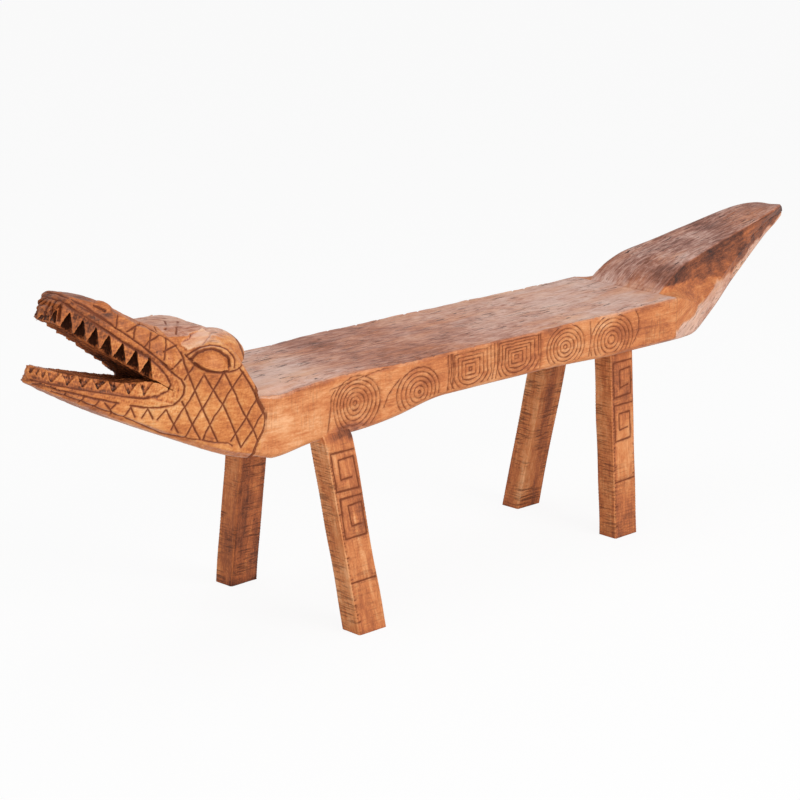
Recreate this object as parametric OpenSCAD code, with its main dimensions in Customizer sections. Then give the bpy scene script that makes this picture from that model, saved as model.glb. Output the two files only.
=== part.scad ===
// Carved wooden crocodile bench.
// One long log is carved into an open-jawed head, a seat and a rising tail, and stands on
// four splayed square legs. Each leg is tenoned into a blind mortise in the underside and
// locked there by a small wedge. +X runs from the jaws to the tail, +Z is up, and the
// origin is on the floor below the middle of the length.

/* [Seat] */
// Height of the flat seat above the floor
seat_h = 495; // [440:1:540]
// Length of the flat seat, from the neck to the foot of the tail
seat_l = 1165; // [1000:5:1400]
// Width of the seat between the head legs
neck_w = 278; // [250:1:310]
// Width of the seat at its middle
seat_w = 304; // [260:1:340]
// Thickness of the log over the head legs
head_land_t = 121; // [105:1:130]
// Thickness of the log over the tail legs
tail_land_t = 95; // [88:1:120]
// Thickness of the log in the middle, where the underside is hollowed
waist_t = 88; // [70:1:110]
// Thickness of the log at the throat
throat_t = 132; // [124:1:150]
// Radius of the worn top edges
edge_r = 5; // [3:0.5:8]
// Size of the bevel along the lower edges
bevel = 9; // [4:1:14]

/* [Head] */
// Length of the head, from the tip of the lower jaw to the neck
head_l = 425; // [400:5:480]
// Width of the head across the cheeks
cheek_w = 288; // [280:1:320]
// Width of the snout across its middle
snout_w = 112; // [96:1:130]
// Rise of the snout above the seat
snout_lift = 219; // [190:1:250]
// Depth of the gap that the open mouth leaves between the jaws at their tips
gape = 88; // [74:1:100]
// Distance from the tip of the lower jaw to the corner of the lips
mouth_l = 260; // [245:1:275]
// Height of the corner of the lips above the seat
mouth_lift = 26; // [20:1:36]
// Gap that the straight bite lines leave at the corner of the lips
mouth_end = 3; // [1:0.5:6]
// Length of the teeth in the upper jaw
upper_tooth_h = 33; // [24:1:40]
// Length of the teeth in the lower jaw
lower_tooth_h = 22; // [14:1:26]
// Depth of the cuts between the upper teeth
upper_cut = 18; // [10:1:22]
// Depth of the cuts between the lower teeth
lower_cut = 6; // [4:1:9]
// Number of cuts between the teeth along each side of the upper jaw
side_teeth = 7; // [5:1:9]
// Number of cuts between the teeth along each side of the lower jaw
lower_side_teeth = 7; // [5:1:8]
// Number of cuts between the teeth round the front of a jaw
front_teeth = 6; // [2:2:6]
// How far the raised lip stands out from the teeth
lip = 3; // [2:0.5:5]
// Length of the round form of a brow, which is half sunk in the cheek
brow_l = 184; // [160:2:196]
// Height of the round form of a brow
brow_h = 150; // [130:2:160]
// Radius of the lower lid, which ends each brow in an arc on the cheek
lid_r = 70; // [64:1:78]

/* [Tail] */
// Length of the tail, from the end of the seat to its tip
tail_l = 545; // [480:5:640]
// Rise of the tail above the seat
tail_lift = 125; // [90:1:150]

/* [Legs] */
// Width of a leg along the bench
leg_w = 72; // [60:1:84]
// Thickness of a leg across the bench
leg_t = 50; // [44:1:56]
// Radius of the rounded leg corners
leg_r = 4; // [2:0.5:8]
// Distance between the foot centres, head legs to tail legs
foot_span = 792; // [700:1:880]
// Distance from the neck to the foot centres of the head legs
foot_start = 205; // [170:1:230]
// Distance from the middle of the bench to a head foot
head_foot_y = 191; // [180:1:200]
// Distance from the middle of the bench to a tail foot
tail_foot_y = 144; // [135:1:155]
// Sideways lean of the head legs in degrees
head_splay = 10.8; // [8:0.1:12]
// Sideways lean of the tail legs in degrees
tail_splay = 8.3; // [6:0.1:9]
// Lean of the head legs towards the jaws in degrees
head_rake = 3; // [0:0.1:5]
// Lean of the tail legs towards the tail in degrees
tail_rake = 5.3; // [3:0.1:7]

/* [Joints] */
// Length of the tenon above the shoulder of the leg
tenon_l = 62; // [40:1:66]
// Width of the tenon along the bench
tenon_w = 46; // [34:1:52]
// Thickness of the tenon across the bench
tenon_t = 30; // [24:1:34]
// Clearance round a tenon in its mortise
fit_gap = 0.3; // [0.2:0.05:0.6]
// Length of the wedge in the top of a tenon
wedge_l = 30; // [20:1:34]
// Thickness of the wedge at its driven end
wedge_t = 6; // [4:0.5:8]
// Clearance on each side of the wedge
wedge_gap = 0.2; // [0.1:0.05:0.4]

/* [Hidden] */
$fn = 32;
body_l = head_l + seat_l + tail_l;
tail_s = head_l + seat_l;
ring_step = 24;
overlap = 30;
near = 0.01;
far = 400;

// Smooth curve through a table of [place, value] rows, where a value may be a list
function row_of(t, table, i = 0) =
    i >= len(table) - 2 || t < table[i + 1][0] ? i : row_of(t, table, i + 1);
function slope_at(table, i) =
    let (a = table[max(0, i - 1)], b = table[min(len(table) - 1, i + 1)])
    (b[1] - a[1]) / (b[0] - a[0]);
function curve(t, table) =
    let (i = row_of(t, table), a = table[i], b = table[i + 1], w = b[0] - a[0],
         u = max(0, min(1, (t - a[0]) / w)))
    a[1] * (2 * u ^ 3 - 3 * u ^ 2 + 1) + slope_at(table, i) * w * (u ^ 3 - 2 * u ^ 2 + u)
        + b[1] * (3 * u ^ 2 - 2 * u ^ 3) + slope_at(table, i + 1) * w * (u ^ 3 - u ^ 2);
// Gentle step from value a at place s0 to value b at place s1
function ease(s, s0, s1, a, b) =
    let (u = max(0, min(1, (s - s0) / (s1 - s0)))) a + (b - a) * (3 * u ^ 2 - 2 * u ^ 3);
function spread(a, b, n) = [for (i = [0:n]) a + (b - a) * i / n];

// Skin over rings of points, each the same number, closed by a flat face at both ends
module skin(rings) {
    n = len(rings[0]);
    m = len(rings);
    polyhedron(
        points = [for (r = rings) each r],
        faces = [
            [for (j = [n - 1:-1:0]) j],
            for (i = [0:m - 2], j = [0:n - 1]) let (a = i * n + j, b = i * n + (j + 1) % n)
                each [[a, b, a + n], [b, b + n, a + n]],
            [for (j = [0:n - 1]) (m - 1) * n + j]
        ]);
}
// Whole ring at station s from the half profile [y, z] on one side, top first.
// A lean tilts the plane of the ring about its lowest point
function ring(s, half, lean = 0) =
    let (x = s - body_l / 2, z0 = half[len(half) - 1][1])
    concat([for (p = half) [x + lean * (p[1] - z0), p[0], p[1]]],
           [for (i = [len(half) - 2:-1:1]) [x + lean * (half[i][1] - z0), -half[i][0], half[i][1]]]);

// Leg places: [foot x, foot y, rake towards the tail, splay, thickness of the log]
head_leg = [head_l + foot_start - body_l / 2, head_foot_y, -head_rake, head_splay, head_land_t];
tail_leg = [head_leg[0] + foot_span, tail_foot_y, tail_rake, tail_splay, tail_land_t];
function land_z(leg) = seat_h - leg[4];
// Station of the middle of the flat land under which a leg stands, and its two ends
function land_s(leg) = leg[0] + body_l / 2 + land_z(leg) * tan(leg[2]);
function land_from(leg) = land_s(leg) - leg_w * 0.62;
function land_to(leg) = land_s(leg) + leg_w * 0.62;

// Underside of the log: throat, land, hollowed waist, land, foot of the tail
waist_from = (land_to(head_leg) + land_from(tail_leg)) / 2 - seat_l * 0.12;
waist_to = waist_from + seat_l * 0.24;
throat_s = head_l + throat_t / 4;
function under_z(s) = s <= head_l ? chin_z(s) + 2 : seat_h - (
    s < throat_s ? ease(s, head_l, throat_s, throat_t - throat_dip, throat_t) :
    s < land_from(head_leg) ? ease(s, throat_s, land_from(head_leg), throat_t, head_land_t) :
    s < waist_from ? ease(s, land_to(head_leg), waist_from, head_land_t, waist_t) :
    s < waist_to ? waist_t :
    s < land_to(tail_leg) ? ease(s, waist_to, land_from(tail_leg), waist_t, tail_land_t) :
    tail_land_t);
function half_w(s) =
    (s < tail_s / 2 ? ease(s, land_to(head_leg), tail_s / 2, neck_w, seat_w) : seat_w) / 2;

// Section of the seat, a flat top with worn edges, upright sides and bevelled lower edges.
// The points on the flat top are where the ridge of the tail will rise
ridge_share = 0.66;
function seat_half(s) =
    let (w = half_w(s), t = seat_h, b = under_z(s), h = t - b)
    [[0, t], [w * ridge_share / 2, t], [w * (ridge_share - 0.02), t], [w * ridge_share, t],
     [w * (ridge_share + 0.02), t], [w - edge_r, t], [w - edge_r * 0.3, t - edge_r * 0.3],
     [w, t - edge_r], [w, t - h * 0.35], [w, t - h * 0.65], [w - 1, b + bevel], [w - bevel, b], [0, b]];

// The tail in shares of its length: the five lines of its section, each as
// [share of half the seat width, share of the rise above the seat]
ridge_line = [[0, [ridge_share, 0]], [0.035, [0.665, 0.12]], [0.09, [0.655, 0.27]], [0.19, [0.61, 0.43]],
              [0.42, [0.5, 0.62]], [0.68, [0.43, 0.83]], [0.83, [0.36, 0.955]], [0.92, [0.235, 0.975]],
              [0.97, [0.125, 0.93]], [1, [0.06, 0.83]]];
shoulder_line = [[0, [ridge_share + 0.02, 0]], [0.035, [0.72, 0.02]], [0.09, [0.72, 0.06]],
                 [0.29, [0.65, 0.07]], [0.54, [0.5, 0.4]], [0.83, [0.28, 0.78]], [1, [0.06, 0.8]]];
side_line = [[0, [1, 0]], [0.05, [0.995, -0.04]], [0.1, [0.97, -0.12]], [0.18, [0.91, -0.2]],
             [0.3, [0.78, -0.07]], [0.54, [0.53, 0.33]], [0.83, [0.25, 0.73]], [1, [0.05, 0.78]]];
cheek_line = [[0, [0.99, -0.7]], [0.05, [0.96, -0.6]], [0.12, [0.93, -0.42]], [0.18, [0.9, -0.26]],
              [0.3, [0.77, -0.11]], [0.54, [0.525, 0.29]], [0.83, [0.245, 0.69]], [1, [0.045, 0.75]]];
keel_line = [[0, [0.94, -0.76]], [0.09, [0.84, -0.8]], [0.19, [0.76, -0.79]], [0.3, [0.66, -0.64]],
             [0.54, [0.47, -0.08]], [0.83, [0.21, 0.46]], [1, [0.04, 0.71]]];
function tail_point(t, line) = let (p = curve(t, line)) [p[0] * seat_w / 2, seat_h + p[1] * tail_lift];
function tail_half(s) =
    let (t = (s - tail_s) / tail_l, a = tail_point(t, ridge_line), b = tail_point(t, shoulder_line),
         c = tail_point(t, side_line), d = tail_point(t, cheek_line), e = tail_point(t, keel_line),
         k = ease(t, 0, 0.1, 0, 3), r = ease(t, 0.08, 0.2, edge_r, 1))
    [[0, a[1]], [a[0] / 2, a[1]], [a[0] - 0.02 * half_w(s), a[1]], [a[0], a[1] - k], b,
     [c[0] - r, c[1]], [c[0] - r * 0.3, c[1] - r * 0.3], [c[0], c[1] - r],
     c * 0.6 + d * 0.4 - [0, r * 0.5], c * 0.25 + d * 0.75 - [0, r * 0.25], d, e, [0, e[1]]];

module log_body() {
    stations = concat(
        spread(head_l - overlap / 2, throat_s, 2), spread(throat_s + throat_t * 0.15, land_from(head_leg), 4),
        spread(land_to(head_leg), waist_from, 7),
        spread(waist_to, land_from(tail_leg), 7),
        [land_to(tail_leg)]);
    skin(concat(
        [for (s = stations) ring(s, seat_half(s))],
        [for (s = concat(spread(tail_s, tail_s + tail_l * 0.105, 6),
                         spread(tail_s + tail_l * 0.15, body_l, round(tail_l / ring_step))))
            ring(s, tail_half(s))]));
}

// The head, in shares of its length from the tip of the lower jaw to the neck.
// Heights on the centre line are shares of the snout's rise above the seat
nose_s = 0.066 * head_l;
chin_lift = 0.325 * snout_lift;
crown_line = [[0.078, 0.92], [0.1, 0.965], [0.13, 0.99], [0.18, 1], [0.3, 0.945], [0.4, 0.84],
              [0.475, 0.75], [0.6, 0.63], [0.7, 0.605], [0.8, 0.585], [0.87, 0.535], [0.93, 0.34],
              [1, 0.05]];
function crown_z(s) = seat_h + curve(s / head_l, crown_line) * snout_lift;
throat_dip = 7;
chin_line = [[0, chin_lift], [0.17, 0.14 * snout_lift], [0.36, -0.06 * snout_lift],
             [0.61, -0.49 * throat_t], [0.83, -0.81 * throat_t], [1, throat_dip - throat_t]];
function chin_z(s) = seat_h + curve(s / head_l, chin_line);
// Half width of the head, first along the snout and then widening to the cheeks
function widen(share) = (snout_w + share * (cheek_w - snout_w)) / 2;
plan_line = [[0.05, snout_w * 0.3], [0.13, snout_w * 0.35], [0.22, snout_w * 0.42],
             [0.33, snout_w / 2], [0.44, widen(0.14)], [0.6, widen(0.37)], [0.68, widen(0.52)],
             [0.77, widen(0.68)], [0.9, widen(0.9)], [0.97, widen(1)], [1, widen(1)]];
function head_w(s) = curve(s / head_l, plan_line);
// Half width of a jaw whose round front starts at station s0, at the lip and at the teeth
front_r = snout_w * 0.3;
first_turn = 16;
chin_s = front_r * (cos(first_turn) - 1);
// Lean of the front of a jaw, back towards its top, at station s
nose_lean = 0.6;
chin_lean = 0.3;
function lean_at(s, s0, lean) = ease(s, s0, s0 + 2 * front_r, lean, 0);
function round_w(s, s0, w, r) = let (d = 1 - max(0, min(1, (s - s0) / r))) w * sqrt(1 - d ^ 2);
function jaw_w(s, s0) = round_w(s, s0, max(head_w(s), front_r), front_r);
function teeth_w(s, s0) = max(lip, round_w(s, s0 + lip, max(head_w(s), front_r) - lip, front_r - lip));
// Stations of the rings along a jaw, close together round its front
function jaw_stations(s0) = concat([for (k = [1:5]) s0 + front_r * (1 - cos(k * first_turn))],
                                   spread(s0 + front_r, mouth_l + 3, 15));

// Lines of the tooth tips, straight from the front of each jaw to the corner of the lips.
// The upper line is level round the nose, as far as station flat_s
flat_s = nose_s + front_r * 0.47;
corner_z = seat_h + mouth_lift;
lower_tip_z = corner_z + 0.34 * snout_lift;
upper_tip_z = lower_tip_z + gape;
function upper_bite(s) =
    upper_tip_z + (corner_z - upper_tip_z) * (max(s, flat_s) - nose_s) / (mouth_l - nose_s);
function lower_bite(s) = lower_tip_z + (corner_z - mouth_end - lower_tip_z) * s / mouth_l;
jaw_slope = (upper_tip_z - corner_z) / (mouth_l - nose_s);
tooth_drop = upper_tooth_h * sqrt(1 + jaw_slope ^ 2);
lip_h = 0.38 * upper_tooth_h;
function upper_root(s) =
    max(upper_bite(s) + lip, min(upper_bite(s) + tooth_drop, crown_z(s) - lip_h * 0.64));
function lower_root(s) = max(lower_bite(s) - lower_tooth_h, chin_z(s) + lip_h);

function upper_half(s) =
    let (w = jaw_w(s, nose_s), v = teeth_w(s, nose_s), c = crown_z(s), r = upper_root(s),
         t = upper_bite(s), g = min(r + lip_h, c - lip))
    [[0, c], [w * 0.45, c - 1], [w * 0.8, (c * 3 + g) / 4], [w * 0.99, g], [w, g - lip], [w, r + 1],
     [v, r - 1], [v - 0.5, t + 1], [v - 1, t], [v / 2, t], [0, t]];
function lower_half(s) =
    let (w = jaw_w(s, chin_s), v = teeth_w(s, chin_s), c = chin_z(s), r = lower_root(s), t = lower_bite(s),
         e = min(bevel * 1.3, w * 0.4))
    [[0, t], [v / 2, t], [v - 1, t], [v - 0.5, t - 1], [v, r + 1], [w, r - 1],
     [w, r - lip_h + 1], [w * 0.99, c + e], [w - e, c], [w / 2, c], [0, c]];
// Ring of a jaw drawn in to end well inside the skull
function drawn_in(half) =
    let (m = (half[0][1] + half[len(half) - 1][1]) / 2)
    [for (p = half) [p[0] * 0.8, m + (p[1] - m) * 0.8]];
function skull_half(s) =
    let (tuck = s > mouth_l ? 0 : 1, w = head_w(s) - tuck, c = crown_z(s) - tuck, b = chin_z(s) + tuck,
         h = c - b, g = ease(s, mouth_l, 0.85 * head_l, upper_root(mouth_l) + lip_h, b + h * 0.8))
    [[0, c], [w * 0.45, c - 1], [w * 0.79, c * 0.74 + g * 0.26], [w * 0.95, c * 0.22 + g * 0.78], [w, g],
     [w, g * 0.8 + b * 0.2], [w, g * 0.5 + b * 0.5], [w, b + bevel * 2.5], [w, b + bevel * 1.3],
     [w - bevel * 1.3, b], [0, b]];

// Chisel cut between two teeth, narrowing inwards. The place is [station, y, yaw] on the face
// of the teeth, p and q are its ends at the tooth tips, and away points from the jaw
module tooth_cut(place, side, p, q, root, depth, away) {
    out = [0, away * 2 * lip];
    in = [lip, 0];
    translate([place[0] - body_l / 2, side * place[1], 0]) rotate([90, 0, side * place[2]]) hull() {
        linear_extrude(3 * lip, center = true) polygon([p, [0, root], q, q + out, p + out]);
        translate([0, 0, side * depth]) linear_extrude(near)
            polygon([p + in, [0, root + away * (lip + 1)], q - in, q - in + out, p + in + out]);
    }
}
tip_w = 0.6;
tooth_pitch = (mouth_l * 0.862 - nose_s - snout_w * 0.24) / side_teeth;
lower_pitch = (mouth_l * 0.87 - snout_w * 0.23) / lower_side_teeth;
function side_place(s, s0) =
    [s, teeth_w(s, s0), atan((teeth_w(s + lip, s0) - teeth_w(s - lip, s0)) / (2 * lip))];
// Cuts along the sides of a jaw, with the deepest place of each at a share of its length
module side_cuts(s0, first, count, pitch, share, depth, away) {
    for (side = [-1, 1], i = [0:count - 1]) {
        a = first + i * pitch;
        b = a + pitch;
        mid = a + pitch * share;
        up = away < 0;
        tooth_cut(side_place(mid, s0), side,
                  [a - mid + tip_w, up ? upper_bite(a) : lower_bite(a)],
                  [b - mid - tip_w, up ? upper_bite(b) : lower_bite(b)],
                  up ? upper_root(mid) - 2 : lower_root(mid) + 2, depth, away);
    }
}
// Cuts that radiate round the front of a jaw
front_turn = 137 / front_teeth;
function front_place(turn, s0) =
    [s0 + front_r - (front_r - lip) * cos(turn), (front_r - lip) * sin(turn), 90 - turn];
module front_cuts(s0, lean, depth, away) {
    half = (front_r - lip) * sin(front_turn / 2) - tip_w;
    for (side = [-1, 1], i = [0:front_teeth / 2 - 1]) {
        place = front_place((i + 0.5) * front_turn, s0);
        up = away < 0;
        tip = (up ? upper_bite(place[0]) : lower_bite(place[0])) - away * tip_w;
        low = up ? tip : chin_z(place[0]);
        k = lean_at(place[0], s0, lean);
        multmatrix([[1, 0, k, -k * low], [0, 1, 0, 0], [0, 0, 1, 0]])
            tooth_cut(place, side, [-half, tip], [half, tip],
                      up ? upper_root(place[0]) - 2 : lower_root(place[0]) + 2, depth, away);
    }
}

eye_s = 0.856 * head_l;
eye_y = 0.23 * cheek_w;
lid_s = 0.85 * head_l;
module brows() {
    intersection() {
        for (side = [-1, 1])
            translate([eye_s - body_l / 2, side * eye_y, crown_z(eye_s) - brow_h * 0.52])
                rotate([0, 22, side * -20]) scale([brow_l, cheek_w * 0.414, brow_h] / 2) sphere(1, $fn = 36);
        translate([lid_s - body_l / 2, 0, crown_z(lid_s)])
            scale([1.35, 1, 1]) rotate([90, 0, 0])
                cylinder(2 * cheek_w, lid_r, lid_r, center = true, $fn = 60);
    }
}
nostril_s = 0.345 * head_l;
nostril_r = 0.16 * snout_w;
slit_w = 2.5;
slit_h = 5;
module nostrils() {
    for (side = [-1, 1])
        translate([nostril_s - body_l / 2, side * snout_w * 0.3, crown_z(nostril_s) - nostril_r * 0.8])
            rotate([0, 32, 0]) scale([1.4, 0.9, 0.8] * nostril_r) sphere(1, $fn = 20);
}
module nostril_slits() {
    for (side = [-1, 1])
        translate([nostril_s - body_l / 2 + nostril_r * 0.3, side * snout_w * 0.33,
                   crown_z(nostril_s) - nostril_r * 0.1])
            rotate([0, 30, side * 15]) cube([nostril_r * 1.1, slit_w, slit_h], center = true);
}

module head_carving() {
    difference() {
        union() {
            skin(concat([for (s = jaw_stations(nose_s))
                            ring(s, upper_half(s), lean_at(s, nose_s, nose_lean))],
                        [ring(mouth_l + overlap, drawn_in(upper_half(mouth_l)))]));
            skin(concat([for (s = jaw_stations(chin_s))
                            ring(s, lower_half(s), lean_at(s, chin_s, chin_lean))],
                        [ring(mouth_l + overlap, drawn_in(lower_half(mouth_l)))]));
            skin([for (s = spread(mouth_l, head_l, 9)) ring(s, skull_half(s))]);
            brows();
            nostrils();
        }
        side_cuts(nose_s, nose_s + snout_w * 0.24, side_teeth, tooth_pitch, 0.82, upper_cut, -1);
        side_cuts(chin_s, snout_w * 0.23, lower_side_teeth, lower_pitch, 0.31, lower_cut, 1);
        front_cuts(nose_s, nose_lean, upper_cut * 0.3, -1);
        front_cuts(chin_s, chin_lean, lower_cut * 0.7, 1);
        nostril_slits();
    }
}

// Moves its children from the axis of an upright leg to the place and lean of a leg
module at_leg(leg, side) {
    translate([leg[0], side * leg[1], 0]) rotate([side * leg[3], leg[2], 0]) children();
}
// Distance along a leaning leg from its foot to the shoulder under the log
function leg_run(leg) = land_z(leg) / (cos(leg[2]) * cos(leg[3]));
function tenon_from(leg) = leg_run(leg) - leg_w * 0.2;
function tenon_top(leg) = leg_run(leg) + tenon_l;

module rounded_bar(w, t, r, h) {
    linear_extrude(h) {
        square([w - 2 * r, t], center = true);
        square([w, t - 2 * r], center = true);
        for (x = [-1, 1], y = [-1, 1]) translate([x * (w / 2 - r), y * (t / 2 - r)]) circle(r);
    }
}
module tenon_block(leg, side, grow) {
    at_leg(leg, side) translate([-tenon_w / 2 - grow, -tenon_t / 2 - grow, tenon_from(leg)])
        cube([tenon_w + 2 * grow, tenon_t + 2 * grow, tenon_top(leg) - tenon_from(leg) + grow]);
}
// Wedge profile across its taper, thick end at the top of the tenon
module wedge_bar(leg, side, grow) {
    at_leg(leg, side) translate([0, -tenon_t / 2 - (grow > 0 ? 1 : 0), tenon_top(leg)])
        rotate([-90, 0, 0]) linear_extrude(tenon_t + (grow > 0 ? 2 : 0))
            polygon([[-wedge_t / 2 - grow, grow > 0 ? -1 : 0], [wedge_t / 2 + grow, grow > 0 ? -1 : 0],
                     [wedge_t / 6 + grow, wedge_l + grow], [-wedge_t / 6 - grow, wedge_l + grow]]);
}
module leg_piece(leg, side) {
    difference() {
        union() {
            intersection() {
                at_leg(leg, side) translate([0, 0, -leg_w])
                    rounded_bar(leg_w, leg_t, leg_r, leg_run(leg) + 2 * leg_w);
                translate([leg[0] - far, -far, 0]) cube([2 * far, 2 * far, land_z(leg)]);
            }
            tenon_block(leg, side, 0);
        }
        wedge_bar(leg, side, wedge_gap);
    }
}

module carved_body() {
    color("#b5703c") difference() {
        union() {
            log_body();
            head_carving();
        }
        for (leg = [head_leg, tail_leg], side = [-1, 1]) tenon_block(leg, side, fit_gap);
    }
}
module foreleg_left() { color("#c07a44") leg_piece(head_leg, -1); }
module foreleg_right() { color("#a9683a") leg_piece(head_leg, 1); }
module hindleg_left() { color("#c07a44") leg_piece(tail_leg, -1); }
module hindleg_right() { color("#a9683a") leg_piece(tail_leg, 1); }
module foreleg_left_wedge() { color("#8a5a34") wedge_bar(head_leg, -1, 0); }
module foreleg_right_wedge() { color("#8a5a34") wedge_bar(head_leg, 1, 0); }
module hindleg_left_wedge() { color("#8a5a34") wedge_bar(tail_leg, -1, 0); }
module hindleg_right_wedge() { color("#8a5a34") wedge_bar(tail_leg, 1, 0); }

carved_body();
foreleg_left();
foreleg_right();
hindleg_left();
hindleg_right();
foreleg_left_wedge();
foreleg_right_wedge();
hindleg_left_wedge();
hindleg_right_wedge();
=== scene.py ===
# %% [markdown]
# # A carved crocodile bench
# A bench like this is cut from one heavy log of a warm red-brown wood. The carver shapes the open
# jaws, the seat and the rising tail with an adze, cuts the scales and the rings with a V-shaped
# gouge, sets four leaning legs under it, and rubs the whole with a dark wax that stays in the cuts.
# The lesson follows the same order: rough shapes first, then cuts, then the finish.

import math

import bmesh
import bpy
import numpy as np
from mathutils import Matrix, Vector
from mathutils.bvhtree import BVHTree


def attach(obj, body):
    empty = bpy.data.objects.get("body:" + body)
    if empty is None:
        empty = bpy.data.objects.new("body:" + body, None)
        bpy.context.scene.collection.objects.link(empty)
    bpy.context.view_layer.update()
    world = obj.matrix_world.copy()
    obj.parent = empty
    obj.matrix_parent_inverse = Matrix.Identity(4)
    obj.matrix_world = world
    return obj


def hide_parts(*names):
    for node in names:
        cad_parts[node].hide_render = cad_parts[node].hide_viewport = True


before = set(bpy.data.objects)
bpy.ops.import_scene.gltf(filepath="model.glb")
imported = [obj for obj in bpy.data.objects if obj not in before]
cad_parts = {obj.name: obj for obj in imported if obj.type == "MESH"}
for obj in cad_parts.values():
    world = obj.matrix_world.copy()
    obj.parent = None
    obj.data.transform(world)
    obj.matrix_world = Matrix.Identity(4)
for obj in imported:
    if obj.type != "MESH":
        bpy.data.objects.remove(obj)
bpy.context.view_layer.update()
MM = 0.001


def set_out(name, data):
    """Put a new object into the scene"""
    made = bpy.data.objects.new(name, data)
    bpy.context.scene.collection.objects.link(made)
    return made


# %% [markdown]
# ## The camera
# A long lens far from the bench keeps its long edges nearly parallel, as in a catalogue picture.
# The camera stands in front of the jaws, a little above the seat, and looks along the log at an
# angle, so the head is near and the tail is far.

# %% Camera
AIM = Vector((0.0075, 0.174, 0.300))
BACK = Vector((-0.6683, -0.6966, 0.2608)).normalized()
AWAY = 5.097
camera = set_out("Camera", bpy.data.cameras.new("Camera"))
camera.data.lens = 108
camera.data.sensor_width = 36
camera.location = AIM + AWAY * BACK
camera.rotation_euler = BACK.to_track_quat("Z", "Y").to_euler()
bpy.context.scene.camera = camera
print("camera at", tuple(round(v, 3) for v in camera.location))

# %% [markdown]
# ## The sizes of the log
# Every shape below needs the same few sizes, in millimetres. A place along the log is counted
# from the tip of the lower jaw. A small table of places and values, joined by a smooth curve, is
# how a carver's template works: a few marks, and a bent strip of wood through them.

# %% Sizes and smooth curves
HEAD_L, SEAT_L, TAIL_L = 425.0, 1165.0, 545.0
TAIL_S = HEAD_L + SEAT_L
BODY_L = TAIL_S + TAIL_L
SEAT_H, TAIL_LIFT, SNOUT_LIFT = 495.0, 125.0, 219.0
NECK_W, SEAT_W = 278.0, 304.0
HEAD_LAND, TAIL_LAND, WAIST, THROAT = 121.0, 95.0, 88.0, 132.0
EDGE_R, BEVEL = 5.0, 9.0


def curve(t, table):
    """Smooth curve through rows of place and value, for one place or many"""
    rows = np.array([[r[0], *np.atleast_1d(r[1])] for r in table], float)
    t = np.atleast_1d(np.asarray(t, float))
    i = np.clip(np.searchsorted(rows[:, 0], t, side="right") - 1, 0, len(rows) - 2)
    last = len(rows) - 1
    before, after = np.maximum(np.arange(len(rows)) - 1, 0), np.minimum(np.arange(len(rows)) + 1, last)
    slope = (rows[after, 1:] - rows[before, 1:]) / (rows[after, :1] - rows[before, :1])
    width = (rows[i + 1, 0] - rows[i, 0])[:, None]
    u = np.clip((t - rows[i, 0]) / width[:, 0], 0, 1)[:, None]
    value = (rows[i, 1:] * (2 * u**3 - 3 * u**2 + 1) + slope[i] * width * (u**3 - 2 * u**2 + u)
             + rows[i + 1, 1:] * (3 * u**2 - 2 * u**3) + slope[i + 1] * width * (u**3 - u**2))
    return value[:, 0] if value.shape[1] == 1 else value


def ease(s, s0, s1, a, b):
    """Gentle step from value a at place s0 to value b at place s1"""
    u = np.clip((np.asarray(s, float) - s0) / (s1 - s0), 0, 1)
    return a + (b - a) * (3 * u**2 - 2 * u**3)


print("log", BODY_L, "mm long, seat", SEAT_H, "mm high")

# %% [markdown]
# Four lines describe the head from the side: its top, its underside, and the cutting edges of the
# two rows of teeth. Those edges lie in flat planes, one for each jaw.

# %% Side view of the head
def crown_z(s):
    """Height of the top of the head"""
    return SEAT_H + SNOUT_LIFT * curve(np.asarray(s) / HEAD_L, [
        [0.078, 0.92], [0.1, 0.965], [0.13, 0.99], [0.18, 1], [0.3, 0.945], [0.4, 0.84], [0.475, 0.75],
        [0.6, 0.63], [0.7, 0.605], [0.8, 0.585], [0.87, 0.535], [0.93, 0.34], [1, 0.05]])


def chin_z(s):
    """Height of the underside of the head"""
    return SEAT_H + curve(np.asarray(s) / HEAD_L, [
        [0, 0.325 * SNOUT_LIFT], [0.17, 0.14 * SNOUT_LIFT], [0.36, -0.06 * SNOUT_LIFT],
        [0.61, -0.49 * THROAT], [0.83, -0.81 * THROAT], [1, 7 - THROAT]])


# the planes of the teeth: height at the tip of the jaw, and how far they fall for each mm
UPPER_TIP, UPPER_TIP_S, UPPER_FALL, UPPER_FLAT_TO = 683.46, 28.05, 0.7004, 43.84
LOWER_TIP, LOWER_FALL = 595.46, 0.2979


def upper_bite(s):
    """Height of the cutting edge of the upper teeth"""
    return UPPER_TIP - UPPER_FALL * (np.maximum(s, UPPER_FLAT_TO) - UPPER_TIP_S)


def lower_bite(s):
    """Height of the cutting edge of the lower teeth"""
    return LOWER_TIP - LOWER_FALL * np.asarray(s)


print("crown over the eyes", crown_z([330, 360]).round(1), "gap of the jaws at the tip",
      (upper_bite(0) - lower_bite(0)).round(1))

# %% [markdown]
# ## Cutting a V groove
# A V gouge follows a line and leaves a narrow valley with slightly rounded shoulders. On a mesh
# this is simple: every vertex knows how far it is from the nearest line, and sinks along its own
# normal by an amount that depends only on that distance. The same distance is kept on the mesh
# afterwards, so the finish can rub dark wax into exactly the same valleys.

# %% Distance from carved lines
FAR_AWAY = 40.0


def line_distance(points, line):
    """Distance in mm from points to a line of corners, in as many dimensions as both have"""
    points, line = np.asarray(points, float), np.asarray(line, float)
    best = np.full(len(points), FAR_AWAY)
    for a, b in zip(line[:-1], line[1:]):
        ab = b - a
        t = np.clip((points - a) @ ab / max(ab @ ab, 1e-9), 0, 1)
        best = np.minimum(best, np.linalg.norm(points - a - t[:, None] * ab, axis=1))
    return best


def groove(distance, depth, half):
    """Depth of the valley, with a small round shoulder"""
    return depth * np.exp(-((distance / half) ** 2)) + 0.22 * depth * np.exp(-((distance / (3 * half)) ** 2))


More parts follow.
